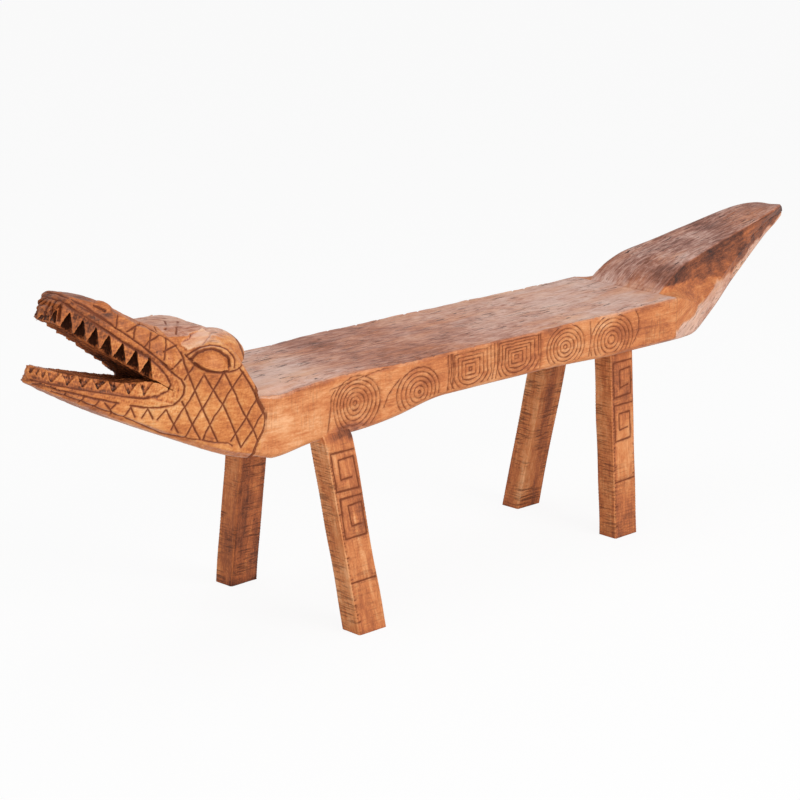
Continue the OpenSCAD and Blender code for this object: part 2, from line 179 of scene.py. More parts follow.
def gentle(points, scale, seed):
    """Slow unevenness left by the adze, from a few crossed waves"""
    waves = np.random.default_rng(seed)
    total = np.zeros(len(points))
    for _ in range(9):
        direction = waves.normal(size=3)
        direction /= np.linalg.norm(direction)
        pitch = 2 * math.pi / (scale * waves.uniform(0.6, 1.8))
        total += np.sin(points @ direction * pitch + waves.uniform(0, 6.28))
    return total / 3


print("groove 0, 1 and 2 mm from its line", groove(np.array([0, 1, 2.0]), 2, 1.4).round(2))

# %% [markdown]
# ## Turning numbers into a piece
# A piece is a list of points and faces. Besides its shape, each piece keeps two things for the
# finish. "wear" is a colour: its red says how near a cut is, its green how light the wood is, painted
# shade and painted light included, its blue how grey it has weathered, with painted sheen and painted
# floor light in it, and its alpha how rough the saw has left it. "grain" is a place in the wood
# itself, with the grain running along its third number, so the fibres of a leaning leg lean with it.

# %% Piece maker
def piece(name, points_mm, faces, slot, replaces=()):
    """Make a piece from points in mm; faces with three corners, the end caps, stay flat"""
    mesh = bpy.data.meshes.new(name)
    mesh.from_pydata((np.asarray(points_mm) * MM).tolist(), [], [tuple(map(int, f)) for f in faces])
    mesh.polygons.foreach_set("use_smooth", np.array([len(f) > 3 for f in faces]))
    mesh.update()
    made = set_out(name, mesh)
    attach(made, "root")
    if replaces:
        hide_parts(*replaces)
    print(name, len(mesh.vertices), "vertices", len(mesh.polygons), "faces")
    return made


CUT_REACH = 8.0


def keep_wear(made, cut, tone, grey, saw, grain):
    """Store the finish guides on the mesh; cut is a distance in mm, the others run from 0 to 1"""
    wear = np.ones((len(made.data.vertices), 4), np.float32)
    for channel, guide in enumerate((cut / CUT_REACH, tone, grey, saw)):
        wear[:, channel] = np.clip(guide, 0, 1)
    made.data.color_attributes.new("wear", "FLOAT_COLOR", "POINT").data.foreach_set("color", wear.ravel())
    made.data.attributes.new("grain", "FLOAT_VECTOR", "POINT").data.foreach_set(
        "vector", (np.asarray(grain) * MM).astype(np.float32).ravel())


print("a cut colours the wood up to", CUT_REACH, "mm away")

# %% [markdown]
# Some work needs the points of a mesh as arrays. Smoothing is one example. Moving each point to the
# middle of its neighbours would shrink the wood, so the next step moves most of the way back.

# %% Reading and smoothing a mesh
def rows_of(items, field, width, kind=float):
    """One field of all items of a mesh as an array with a row for each item"""
    values = np.empty(len(items) * width, kind)
    items.foreach_get(field, values)
    return values.reshape(-1, width)


def mesh_arrays(mesh):
    """Points in mm, unit normals and edges of a mesh as arrays"""
    return (rows_of(mesh.vertices, "co", 3) / MM, rows_of(mesh.vertex_normals, "vector", 3),
            rows_of(mesh.edges, "vertices", 2, np.int32))


def set_points(mesh, co):
    """Move the points of a mesh to places in mm"""
    mesh.vertices.foreach_set("co", (co * MM).ravel())
    mesh.update()


def relax(co, edges, weight, rounds, keep=0.52):
    """Smooth a surface by moving each point to the middle of its neighbours and most of the way back"""
    n = len(co)
    co = co.copy()
    count = np.maximum(np.bincount(edges.ravel(), minlength=n), 1)[:, None]
    for step in range(rounds):
        total = np.stack([np.bincount(edges[:, 0], co[edges[:, 1], k], n)
                          + np.bincount(edges[:, 1], co[edges[:, 0], k], n) for k in range(3)], 1)
        amount = 0.5 if step % 2 == 0 else -keep
        co += amount * weight[:, None] * (total / count - co)
    return co


print("mesh helpers ready")

# %% [markdown]
# ## The head
# The head is the hardest part of the carving, with its jaws, rows of teeth, lips, brows and
# scales. The rough block is already there as a solid, so the piece starts as a copy of its front
# end. A voxel remesh covers the copy with an even skin of small squares, which is what the fine
# cutting needs. Building the jaws again by hand would give the same block with more work.

# %% Rough block of the head
VOXEL = 1.7
HEAD_END = 441.0


def head_block():
    """Mesh of the front end of the log, up to HEAD_END, in an even skin of small squares"""
    source = bpy.data.objects["carved_body"].data.copy()
    bm = bmesh.new()
    bm.from_mesh(source)
    bmesh.ops.remove_doubles(bm, verts=bm.verts, dist=1e-5)
    plane_x = (HEAD_END - BODY_L / 2) * MM
    cut = bmesh.ops.bisect_plane(bm, geom=bm.verts[:] + bm.edges[:] + bm.faces[:], dist=1e-6,
                                 plane_co=(plane_x, 0, 0), plane_no=(1, 0, 0), clear_outer=True)
    rim = [e for e in cut["geom_cut"] if isinstance(e, bmesh.types.BMEdge)]
    bmesh.ops.contextual_create(bm, geom=rim)
    bm.to_mesh(source)
    bm.free()
    block = set_out("block", source)
    skin = block.modifiers.new("skin", "REMESH")
    skin.mode = "VOXEL"
    skin.voxel_size = VOXEL * MM
    ready = block.evaluated_get(bpy.context.evaluated_depsgraph_get())
    mesh = bpy.data.meshes.new_from_object(ready)
    bpy.data.objects.remove(block)
    return mesh


head_mesh = head_block()
co, no, edges = mesh_arrays(head_mesh)
co[:, 0] += BODY_L / 2
print("head block", len(co), "points, from", co.min(0).round(1), "to", co.max(0).round(1))

# %% [markdown]
# Remeshing keeps the flat facets of the block. A carver scrapes them away on the cheeks and the
# brows but leaves the teeth and lips sharp, so the smoothing is strong in one place and almost
# nothing in the other.

# %% Scrape the facets away
UPPER_DROP, LIP_H, NOSE_LIP, LOWER_TOOTH = 40.3, 12.5, 8.0, 22.0


def upper_root(s):
    """Height at which the upper teeth meet the lip"""
    return np.maximum(upper_bite(s) + 3, np.minimum(upper_bite(s) + UPPER_DROP, crown_z(s) - NOSE_LIP))


def lower_root(s):
    """Height at which the lower teeth meet the lip"""
    return np.maximum(lower_bite(s) - LOWER_TOOTH, chin_z(s) + LIP_H)


s, y, z = co.T
mouth = (s < 268) & (z > lower_root(s) - 17) & (z < upper_root(s) + 16)
soft = np.where(mouth, 0.0, 1.0)
for _ in range(6):
    total = sum(np.bincount(edges[:, a], soft[edges[:, b]], len(co)) for a, b in ((0, 1), (1, 0)))
    soft = total / np.maximum(np.bincount(edges.ravel(), minlength=len(co)), 1)
co = relax(co, edges, soft, 60)
co = relax(co, edges, np.full(len(co), 0.45), 2)
print("smoothed points", int((soft > 0.5).sum()), "left sharp", int((soft <= 0.5).sum()))

# %% [markdown]
# The two sides of a hand-carved mouth are never quite alike. On the side that faces the camera the
# jaws meet sooner: the edge of the lower jaw rises there until it touches the upper one.

# %% Close the near corner of the mouth
s, y, z = co.T
gap = upper_bite(s) - lower_bite(s)
rise = np.minimum(12.5 * ease(s, 160, 236, 0, 1) * ease(s, 254, 268, 1, 0), np.maximum(gap - 0.4, 0))
rise *= ease(-y, 4, 30, 0, 1) * ease(z, lower_bite(s) - 26, lower_bite(s) - 3, 0, 1)
co[:, 2] += rise * (z < lower_bite(s) + gap / 2)
set_points(head_mesh, co - [BODY_L / 2, 0, 0])
print("corner raised by up to", round(float(rise.max()), 1), "mm")

# %% [markdown]
# The lines of the head are written as corners on the surface: how far along, how far from the
# middle, how high, in millimetres. The carver draws them in chalk before cutting. Both sides get
# the same lines. The lips come first: the outer lip lines, the fainter inner ones, and three short
# flutes on the tip of the nose.

# %% Lines of the lips
LIPS = [
    [(77, 0, 713), (75, 20, 712), (75, 32, 710), (86, 40, 704), (102, 43, 695), (118, 47, 682),
     (140, 53, 665), (159, 59, 648), (179, 64, 633), (205, 73, 610), (227, 80, 588), (247, 83, 568),
     (261, 90, 551), (273, 95, 540), (278, 97, 528), (276, 97, 513), (268, 93, 501), (257, 86, 494),
     (233, 82, 493), (206, 74, 496), (179, 66, 504)],
    [(8, 14, 565), (14, 28, 563), (48, 38, 550), (76, 43, 540), (113, 51, 526),
     (142, 56, 516), (157, 60, 511)],
]
INNER_LIP = [
    [(64, 0, 707), (64, 12, 707), (65, 24, 708), (64, 32, 705), (74, 38, 696), (99, 48, 676),
     (124, 52, 657), (149, 55, 638), (173, 61, 618), (194, 67, 603), (221, 72, 583), (236, 79, 567),
     (249, 83, 549), (256, 86, 532), (251, 83, 521), (232, 78, 514), (204, 70, 514), (170, 64, 522),
     (133, 55, 533), (100, 48, 543), (70, 42, 552), (40, 36, 562), (19, 29, 569), (4, 13, 573)],
]
FLUTES = [[(55, 6, 703), (44, 12, 694), (39, 11, 682)], [(61, 15, 705), (48, 22, 694), (45, 21, 683)],
          [(60, 31, 703), (58, 31, 689), (55, 33, 675)]]
FAINT = [
    [(77, 39, 704), (118, 48, 678), (148, 55, 658), (181, 65, 631), (205, 73, 610), (220, 78, 594)],
    [(36, 25, 549), (78, 40, 530), (125, 49, 505), (180, 63, 477), (238, 74, 444), (271, 90, 433),
     (303, 107, 424), (330, 116, 416), (354, 125, 412), (361, 128, 406)],
    [(312, 0, 626), (296, 24, 627), (284, 40, 626), (272, 52, 625)], [(255, 42, 631), (249, 56, 627)],
    [(329, 18, 624), (297, 53, 624), (282, 71, 618)],
    [(217, 46, 646), (227, 46, 640), (233, 56, 634), (246, 68, 624), (260, 74, 614), (271, 81, 603),
     (277, 93, 585)],
]
print("lip lines", len(LIPS) + len(INNER_LIP) + len(FLUTES) + len(FAINT))

# %% [markdown]
# The scales are rows of slanting diamonds that run from the lips to the neck, with small chevrons
# along both lips.

# %% Scales
SCALES = [
    [(277, 91, 590), (278, 97, 571), (285, 100, 550), (296, 104, 517), (308, 109, 484), (320, 113, 454),
     (327, 116, 436), (334, 118, 418)],
    [(314, 112, 543), (325, 115, 521), (330, 117, 513), (339, 120, 495), (346, 123, 485), (358, 127, 455),
     (365, 129, 435), (370, 131, 421), (377, 133, 400)],
    [(349, 124, 546), (354, 125, 536), (363, 129, 515), (370, 131, 501), (373, 132, 489), (384, 136, 463),
     (390, 138, 453), (401, 141, 431), (410, 143, 408)],
    [(378, 134, 549), (384, 136, 539), (395, 139, 520), (404, 142, 502), (412, 143, 480), (423, 144, 459)],
    [(273, 95, 499), (278, 97, 487), (286, 101, 464), (290, 102, 454), (296, 105, 440), (303, 107, 426)],
    [(245, 85, 487), (251, 87, 472), (258, 89, 458), (265, 92, 442)],
    [(278, 97, 539), (285, 100, 550), (292, 103, 558), (296, 110, 566)],
    [(313, 114, 546), (304, 107, 531), (296, 104, 517), (287, 101, 501), (278, 97, 489), (271, 94, 480),
     (258, 89, 458), (253, 87, 449)],
    [(349, 124, 546), (336, 119, 525), (328, 116, 513), (319, 113, 497), (310, 110, 484), (304, 107, 477),
     (290, 102, 454), (278, 97, 433)],
    [(384, 136, 542), (372, 132, 527), (365, 129, 517), (355, 126, 504), (346, 123, 487), (339, 120, 476),
     (329, 117, 464), (322, 114, 450), (314, 111, 438), (309, 109, 424)],
    [(407, 143, 485), (399, 141, 475), (388, 137, 455), (378, 134, 441), (369, 131, 429), (359, 127, 415)],
    [(423, 144, 459), (411, 143, 448), (401, 141, 431), (387, 137, 414), (377, 133, 400)],
    [(257, 86, 560), (265, 91, 568), (274, 95, 577)],
    [(169, 51, 668), (165, 54, 661), (160, 58, 649)],
    [(180, 62, 639), (192, 61, 642), (205, 59, 646), (223, 43, 643)],
    [(199, 61, 641), (194, 64, 634), (191, 67, 626)],
    [(209, 74, 608), (221, 71, 616), (236, 70, 619), (246, 69, 623)],
    [(230, 66, 629), (224, 70, 618), (217, 77, 602)],
    [(258, 73, 616), (255, 77, 604), (249, 81, 593), (243, 85, 580)],
    [(246, 81, 594), (261, 80, 598), (273, 82, 602)],
    [(60, 33, 538), (59, 40, 545)], [(87, 39, 523), (93, 47, 532)], [(112, 46, 511), (121, 52, 520)],
    [(132, 54, 515), (142, 56, 501), (153, 59, 510)], [(142, 56, 501), (146, 52, 492)],
    [(167, 60, 484), (180, 66, 500), (187, 68, 482)], [(200, 72, 478), (211, 75, 493), (220, 77, 474)],
    [(228, 80, 471), (244, 85, 487)],
]
print("scale lines", len(SCALES))

# %% [markdown]
# Around the eye there are two lid lines, the lower edge of the eye and the outline of a flat stroke
# on the brow. The head ends at a curved line across the neck.

# %% Eye, nostril and neck
LIDS = [
    [(284, 96, 582), (286, 97, 584), (297, 99, 589), (310, 104, 595), (328, 110, 597), (345, 114, 593),
     (360, 117, 585), (366, 125, 575), (368, 129, 565), (367, 129, 553)],
    [(286, 98, 577), (291, 104, 579), (300, 105, 587), (316, 111, 592), (330, 115, 592), (344, 119, 586),
     (355, 123, 577), (359, 127, 568), (360, 128, 556)],
]
EYE_LOW = [(282, 95, 585), (288, 101, 576), (297, 105, 565), (308, 109, 557), (319, 113, 551),
           (341, 121, 545), (357, 126, 545), (373, 132, 548), (392, 136, 560)]
BROW_FACET = [(281, 88, 600), (283, 84, 606), (307, 79, 616), (341, 69, 618), (346, 91, 612), (326, 102, 604),
              (312, 102, 598), (289, 95, 591)]
NOSTRIL = [(124, 46, 692), (128, 47, 690), (134, 49, 686), (143, 49, 680)]
# where the head ends at each height of the neck: height, then place along the log
NECK = [[363, 398], [379, 403], [394, 406], [413, 417], [436, 430], [455, 432], [473, 423], [491, 414],
        [500, 412]]


def neck_s(z):
    """Place of the end of the head at a height of the neck"""
    return curve(np.clip(z, NECK[0][0], NECK[-1][0]), NECK)


print("neck line from", neck_s(NECK[0][0]), "to", neck_s(NECK[-1][0]))

# %% [markdown]
# Each point of the head now measures how far it is from each kind of line. The lines were drawn on
# the block and the skin has moved a little since, so a difference sideways counts only in part.

# %% Distance from the lines of the head
SIDE_WEIGHT = 0.35


def head_distance(lines, sideways=SIDE_WEIGHT):
    """Distance to the nearest of several lines, counting sideways distance only in part"""
    squash = np.array([1, sideways, 1])
    here = np.stack([co[:, 0], abs(co[:, 1]), co[:, 2]], 1) * squash
    best = np.full(len(co), FAR_AWAY)
    for line in lines:
        best = np.minimum(best, line_distance(here, np.array(line, float) * squash))
    return best


_, no, edges = mesh_arrays(head_mesh)
d_lips, d_scales, d_lids = head_distance(LIPS), head_distance(SCALES), head_distance(LIDS)
d_inner, d_faint, d_flute = head_distance(INNER_LIP), head_distance(FAINT), head_distance(FLUTES, 1.0)
d_eye, d_nostril = head_distance([EYE_LOW]), head_distance([NOSTRIL])
print("points within 3 mm of a cut", int((np.minimum(d_lips, d_scales) < 3).sum()))

# %% [markdown]
# The eye is an almond that lies deep under the lid and comes level with the cheek below. The lid
# itself is a small roll between two cuts, and the front corner of the brow is one flat stroke of the
# chisel, whose shine is later laid on as a painted highlight. All three are gentle moves of the skin,
# so they come before the sharp cuts.

# %% Shape the eye
def inside_outline(a, b, outline):
    """Whether points a, b lie inside a closed outline of corner pairs"""
    within = np.zeros(len(a), bool)
    for (a0, b0), (a1, b1) in zip(outline, outline[1:] + outline[:1]):
        crosses = (b0 > b) != (b1 > b)
        within ^= crosses & (a < a0 + (b - b0) * (a1 - a0) / (b1 - b0 if b1 != b0 else 1))
    return within


s, y, z = co.T
almond = [(p[0], p[2]) for p in LIDS[1]] + [(p[0], p[2]) for p in EYE_LOW[6:0:-1]]
in_eye = inside_outline(s, z, almond) & (abs(y) > 80)
d_lid = head_distance([LIDS[1]])
dent = in_eye * 4.2 * np.exp(-d_lid / 16)
roll = 1.5 * np.exp(-(((head_distance([LIDS[0]]) - 3.5) / 3.5) ** 2)) * (abs(y) > 80) * (s > 280)
co -= no * (dent - roll)[:, None]
corner = np.array(BROW_FACET, float)
flat = np.linalg.svd(corner - corner.mean(0))[2][2]
there = np.column_stack([s, abs(y), z]) - corner.mean(0)
in_facet = inside_outline(s, z, [(p[0], p[2]) for p in BROW_FACET]) & (abs(y) > 60)
push = -(there @ flat) * in_facet * 0.8
co += np.column_stack([push * flat[0], push * flat[1] * np.sign(y), push * flat[2]])
co = relax(co, edges, (in_eye | in_facet) * 0.8, 4)
print("eye points", int(in_eye.sum()), "facet points", int(in_facet.sum()))

# %% [markdown]
# Now the cuts go in. The lip lines are deep, the scale lines a little shallower, and each scale
# swells gently between its lines because the gouge rounds the edges that it leaves. Around the
# teeth the knife leaves the skin a little ragged. Behind the neck line the skin sinks under the
# surface of the seat, which leaves a crisp step there.

# %% Cut the head
FLUTES_END = 64
outside = np.where(mouth & (abs(co[:, 1]) < 20) & (co[:, 0] > 75), 0.0, 1.0)
sink = groove(d_lips, 2.6, 1.6) + groove(d_scales, 2.0, 1.25) + groove(d_lids, 1.7, 1.1)
sink += groove(d_inner, 2.2, 1.5) + groove(d_faint, 1.2, 1.2)
sink += groove(d_flute, 3.4, 2.2) * (co[:, 0] < FLUTES_END)
sink += groove(d_eye, 1.9, 1.4) + groove(d_nostril, 4.5, 2.2)
sink -= 1.1 * (1 - np.exp(-((d_scales / 7) ** 2))) * soft
ragged = 0.5 * gentle(co, 13, 30) + 0.35 * gentle(co, 7, 31)
co -= no * (sink * outside + np.where(mouth, ragged, 0.25 * ragged))[:, None]
behind = co[:, 0] - neck_s(co[:, 2])
d_collar = abs(behind + 5)
co -= no * (groove(d_collar, 1.6, 1.6) * (co[:, 2] < 500) * (abs(co[:, 1]) > 100))[:, None]
tuck = ease(behind, -0.6, 1.4, 0, 1) * ease(co[:, 2], 500, 512, 1, 0)
d_neck = abs(behind)
middle_z = 432.0
co[:, 1] *= 1 - 0.075 * tuck
co[:, 2] = middle_z + (co[:, 2] - middle_z) * (1 - 0.13 * tuck)
set_points(head_mesh, co - [BODY_L / 2, 0, 0])
print("deepest cut", round(float(sink.max()), 2), "mm")

# %% [markdown]
# The finish guides come from the shape. Comparing each point with a smoothed copy of the surface
# tells whether it lies in a hollow, where wax collects and painted shade is laid, or on a rim, where
# hands wear it light. Between the teeth a rag can't reach at all, and these places get painted shade
# too. To find them, each point looks out in ten directions and counts how often it meets the wood
# again close by.

# %% Hollows and hidden places of the head
def shut_in(mesh, chosen, reach):
    """Share of the directions in which a chosen point of a mesh meets the mesh again within reach"""
    corners, normals = rows_of(mesh.vertices, "co", 3), rows_of(mesh.vertex_normals, "vector", 3)
    wood = BVHTree.FromPolygons(corners.tolist(), rows_of(mesh.polygons, "vertices", 4, np.int32).tolist())
    met = np.zeros(len(corners))
    for k in range(10):
        turn, rise = 2.4 * k, 0.25 + 0.07 * k
        aside = np.array([math.cos(turn), math.sin(turn), 0.3]) * math.sqrt(1 - rise**2)
        ways = normals * (rise + 0.15) + aside - (normals @ aside)[:, None] * normals
        for i in chosen:
            met[i] += wood.ray_cast(corners[i] + normals[i] * 0.0006, ways[i], reach)[0] is not None
    return met / 10


_, no, _ = mesh_arrays(head_mesh)
hollow = ((relax(co, edges, np.ones(len(co)), 8, keep=-0.5) - co) * no).sum(1)
s, y, z = co.T
in_mouth = np.flatnonzero((s < 275) & (z > lower_root(s) - 14) & (z < upper_root(s) + 8))
shut = shut_in(head_mesh, in_mouth, 0.05)
print("points looked out from", len(in_mouth), "shut in", int((shut > 0.5).sum()))

# %% [markdown]
# How light the wood is starts from one middle value. The brow and the lower cheek are rubbed
# lighter, and the flat stroke on the brow gets a painted highlight. The snout, the lips and the front of
# the jaws are darker, and every hollow and every shut-in place takes more away as painted shade. The
# strip between the two rows of teeth is held dark as painted shade; it was never waxed, so its faces
# are marked for a duller finish of their own.

# %% Tones of the head
tone = np.full(len(co), 0.56)
# the brow is lighter; the lighter flat stroke on it (in_facet) is a painted highlight
tone += 0.08 * np.exp(-(((s - 350) / 60) ** 2 + ((z - 610) / 45) ** 2)) + 0.22 * in_facet
tone += 0.05 * np.exp(-(((s - 300) / 60) ** 2 + ((z - 470) / 45) ** 2))
tone -= ease(s, 250, 90, 0, 0.08) + 0.05 * ((s < 275) & (z > 520) & (d_lips < 15))
tone -= 0.13 * ease(s, 266, 210, 0, 1) * (z > upper_bite(s)) - 0.03 * ((s < 250) & (z < lower_bite(s)))
tone -= 0.08 * ease(d_inner, 8, 0, 0, 1) + 0.14 * ease(s, 75, 30, 0, 1) * ease(d_flute, 9, 1, 0.2, 1)
tone -= 0.05 * ease(z, 690, 712, 0, 1) * ease(s, 200, 120, 0, 1) + 0.07 * ease(s, 60, 0, 0, 1)
# painted shade: points shut in by the wood, between the teeth and inside the mouth, are darkened, the upper
# side more
tone -= ease(shut, 0.12, 0.6, 0, 1) * np.where(z < (upper_bite(s) + lower_bite(s)) / 2, 0.30, 0.45)
JAW_HALF = [[0.05, 33.6], [0.13, 39.2], [0.22, 47], [0.33, 56], [0.44, 68], [0.6, 88.5], [0.68, 102]]
between_rows = (s > 50) & (s < 262) & (abs(y) < curve(s / HEAD_L, JAW_HALF) - 9)
between_rows &= (z > lower_root(s)) & (z < upper_root(s))
# painted shade: the strip between the rows of teeth is held dark
tone = np.where(between_rows, np.minimum(tone, 0.30), tone)
# painted shade in the hollows, together with the wax that collects there; rims come out lighter, as worn
tone -= np.clip(hollow, -0.35, 1.2) * 0.40
# painted shade: the eye darkens under the upper lid
tone -= 0.06 * in_eye * np.exp(-d_lid / 12)
print("tones of the head from", tone.min().round(2), "to", tone.max().round(2))

# %% [markdown]
# The top of the head is made grey like the seat, a weathered bloom with painted sheen in it, and the
# underside of the jaw is made grey as painted light from the floor. The distance from the nearest cut
# goes to the finish too, and then the head is ready to become a piece.

# %% Weathering, painted sheen and painted floor light of the head
up = no[:, 2]
# painted sheen on the faces that look up, together with grey weathering
grey = ease(up, 0.66, 0.96, 0, 0.62) * ease(z, 480, 520, 0.3, 1)
grey = np.where(s < 262, 0.15 * ease(up, 0.8, 1, 0, 1), grey)
# painted light from the floor: faces under the chin that look down are made grey
under = ease(-up, 0.45, 0.85, 0, 0.55) * (z < chin_z(s) + 14)
# shut-in places also lose the grey, as part of their painted shade
grey = np.maximum(grey, under) * (1 - ease(shut, 0.1, 0.4, 0, 1))
# painted highlight: the flat stroke on the brow is made pale grey
grey = np.maximum(grey, 0.32 * in_facet)
cut = np.minimum.reduce([d_lips, d_scales, d_lids + 0.2, d_eye, d_nostril, d_collar, d_neck - 2, d_inner,
                         d_faint + 0.4, np.where(s < FLUTES_END, d_flute, FAR_AWAY)])
cut = np.maximum(cut, 0)
faces = rows_of(head_mesh.polygons, "vertices", 4, np.int32)
head = piece("head", co - [BODY_L / 2, 0, 0], faces, "carved_wood", ["carved_body"])
keep_wear(head, cut, tone, grey, 0.12, np.stack([y, z, s], 1))
bpy.data.meshes.remove(head_mesh)
bare_faces = between_rows[faces].all(1)
head.data.polygons.foreach_set("material_index", bare_faces.astype(np.int32))
print("faces inside the mouth", int(bare_faces.sum()))

# %% [markdown]
# ## The seat
# The seat is a plain bar with worn edges. It is thick over the legs and thinner between them, and
# its section is written once for half the width, from the middle of the top to the middle of the
# underside.

# %% Section of the seat
LEGS = {
    "foreleg": dict(x=-437.5, y=191.0, rake=-3.0, splay=10.8, land=374.0),
    "hindleg": dict(x=354.5, y=144.0, rake=5.3, splay=8.3, land=400.0),
}
LAND_HALF = 72 * 0.62


def land_s(leg):
    """Place along the log where a leg meets its underside"""
    return leg["x"] + BODY_L / 2 + leg["land"] * math.tan(math.radians(leg["rake"]))


FORE, HIND = land_s(LEGS["foreleg"]), land_s(LEGS["hindleg"])
WAIST_FROM = (FORE + LAND_HALF + HIND - LAND_HALF) / 2 - SEAT_L * 0.12
WAIST_TO = WAIST_FROM + SEAT_L * 0.24
THROAT_S = HEAD_L + THROAT / 4


def under_z(s):
    """Height of the underside of the log"""
    if s <= HEAD_L:
        return float(chin_z(s)[0]) + 2
    if s < THROAT_S:
        return SEAT_H - float(ease(s, HEAD_L, THROAT_S, THROAT - 7, THROAT))
    if s < FORE - LAND_HALF:
        return SEAT_H - float(ease(s, THROAT_S, FORE - LAND_HALF, THROAT, HEAD_LAND))
    if s < WAIST_FROM:
        return SEAT_H - float(ease(s, FORE + LAND_HALF, WAIST_FROM, HEAD_LAND, WAIST))
    if s < WAIST_TO:
        return SEAT_H - WAIST
    return SEAT_H - float(ease(s, WAIST_TO, HIND - LAND_HALF, WAIST, TAIL_LAND))


def half_w(s):
    """Half the width of the log"""
    return float(ease(s, FORE + LAND_HALF, TAIL_S / 2, NECK_W, SEAT_W)) / 2


def seat_half(s):
    """Half section of the seat, from the middle of its top to the middle of its underside"""
    w, t, b = half_w(s), SEAT_H, under_z(s)
    h, share = t - b, 0.66
    return np.array([[0, t], [w * share / 2, t], [w * (share - 0.02), t], [w * share, t],
                     [w * (share + 0.02), t], [w - EDGE_R, t], [w - EDGE_R * 0.3, t - EDGE_R * 0.3],
                     [w, t - EDGE_R], [w, t - h * 0.35], [w, t - h * 0.65], [w - 1, b + BEVEL],
                     [w - BEVEL, b], [0, b]])


print("underside over the legs", round(under_z(FORE)), round(under_z(HIND)), "and at the waist",
      round(under_z(WAIST_FROM)))

# %% [markdown]
# The tail is the same bar, but five long lines of its section rise and close to a point. Each line
# is a table: share of the length of the tail, then shares of its half width and of its rise.

# %% Section of the tail
RIDGE = [[0, [0.66, 0]], [0.035, [0.665, 0.12]], [0.09, [0.655, 0.27]], [0.19, [0.61, 0.43]],
         [0.42, [0.5, 0.62]], [0.68, [0.43, 0.83]], [0.83, [0.36, 0.955]], [0.92, [0.235, 0.975]],
         [0.97, [0.125, 0.93]], [1, [0.06, 0.83]]]
SHOULDER = [[0, [0.68, 0]], [0.035, [0.72, 0.02]], [0.09, [0.72, 0.06]], [0.29, [0.65, 0.07]],
            [0.54, [0.5, 0.4]], [0.83, [0.28, 0.78]], [1, [0.06, 0.8]]]
SIDE = [[0, [1, 0]], [0.05, [0.995, -0.04]], [0.1, [0.97, -0.12]], [0.18, [0.91, -0.2]],
        [0.3, [0.78, -0.07]], [0.54, [0.53, 0.33]], [0.83, [0.25, 0.73]], [1, [0.05, 0.78]]]
FLANK = [[0, [0.99, -0.7]], [0.05, [0.96, -0.6]], [0.12, [0.93, -0.42]], [0.18, [0.9, -0.26]],
         [0.3, [0.77, -0.11]], [0.54, [0.525, 0.29]], [0.83, [0.245, 0.69]], [1, [0.045, 0.75]]]
KEEL = [[0, [0.94, -0.76]], [0.09, [0.84, -0.8]], [0.19, [0.76, -0.79]], [0.3, [0.66, -0.64]],
        [0.54, [0.47, -0.08]], [0.83, [0.21, 0.46]], [1, [0.04, 0.71]]]


def tail_half(s):
    """Half section of the tail, with as many corners as that of the seat"""
    t = (s - TAIL_S) / TAIL_L
    a, b, c, d, e = [curve(t, line)[0] * [SEAT_W / 2, TAIL_LIFT] + [0, SEAT_H]
                     for line in (RIDGE, SHOULDER, SIDE, FLANK, KEEL)]
    k, r = float(ease(t, 0, 0.1, 0, 3)), float(ease(t, 0.08, 0.2, EDGE_R, 1))
    return np.array([[0, a[1]], [a[0] / 2, a[1]], [a[0] - 0.02 * half_w(s), a[1]], [a[0], a[1] - k], b,
                     [c[0] - r, c[1]], [c[0] - r * 0.3, c[1] - r * 0.3], [c[0], c[1] - r],
                     c * 0.6 + d * 0.4 - [0, r * 0.5], c * 0.25 + d * 0.75 - [0, r * 0.25], d, e, [0, e[1]]])


def log_half(s):
    """Half section of the log at any place from the neck to the tip of the tail"""
    last_seat = HIND + LAND_HALF
    if s <= last_seat:
        return seat_half(s)
    if s < TAIL_S:
        share = (s - last_seat) / (TAIL_S - last_seat)
        return seat_half(last_seat) * (1 - share) + tail_half(TAIL_S) * share
    return tail_half(s)


print("corners of half a section", len(seat_half(FORE)), "in the seat", len(tail_half(BODY_L)), "in the tail")

# %% [markdown]
# Such a bar is easiest to build from rings: one ring of points every couple of millimetres, joined
# to the next by narrow faces. The rings are dense on the sides, where the panels are cut, and open
# on the flat top and below, where nothing is carved.

# %% Rings
def skin_rings(points, n):
    """Faces around a bar whose rings have n points each; both ends get a middle point and a fan"""
    m = len(points) // n
    i, j = np.meshgrid(np.arange(m - 1), np.arange(n), indexing="ij")
    a, b = (i * n + j).ravel(), (i * n + (j + 1) % n).ravel()
    faces = [tuple(f) for f in np.column_stack([a, b, b + n, a + n])]
    for start, step in ((0, -1), ((m - 1) * n, 1)):
        hub = len(points)
        points = np.vstack([points, points[start:start + n].mean(0)])
        ring = list(range(start, start + n))[::step]
        faces += [(ring[k], ring[(k + 1) % n], hub) for k in range(n)]
    return points, faces


def loft(stations, half_of, counts):
    """Points and faces of a closed bar; counts says how many steps each stretch of the section gets"""
    rings = []
    for s in stations:
        h = half_of(s)
        pts = [h[0]]
        for a, b, n in zip(h[:-1], h[1:], counts):
            pts += [a + (b - a) * (k + 1) / n for k in range(n)]
        pts = np.array(pts)
        ring = np.concatenate([pts, pts[-2:0:-1] * [-1, 1]])
        rings.append(np.column_stack([np.full(len(ring), s), ring]))
    return skin_rings(np.concatenate(rings), len(rings[0]))


print("ring helpers ready")

# %% [markdown]
# The panels on the sides are sets of rings and squares, one inside the other, with a plain line
# between some of them and one line that follows the top edge. For a point of the side each set
# only needs one number, the size of the ring or square that the point lies on: the cut is nearest
# where that number is a whole number of steps.

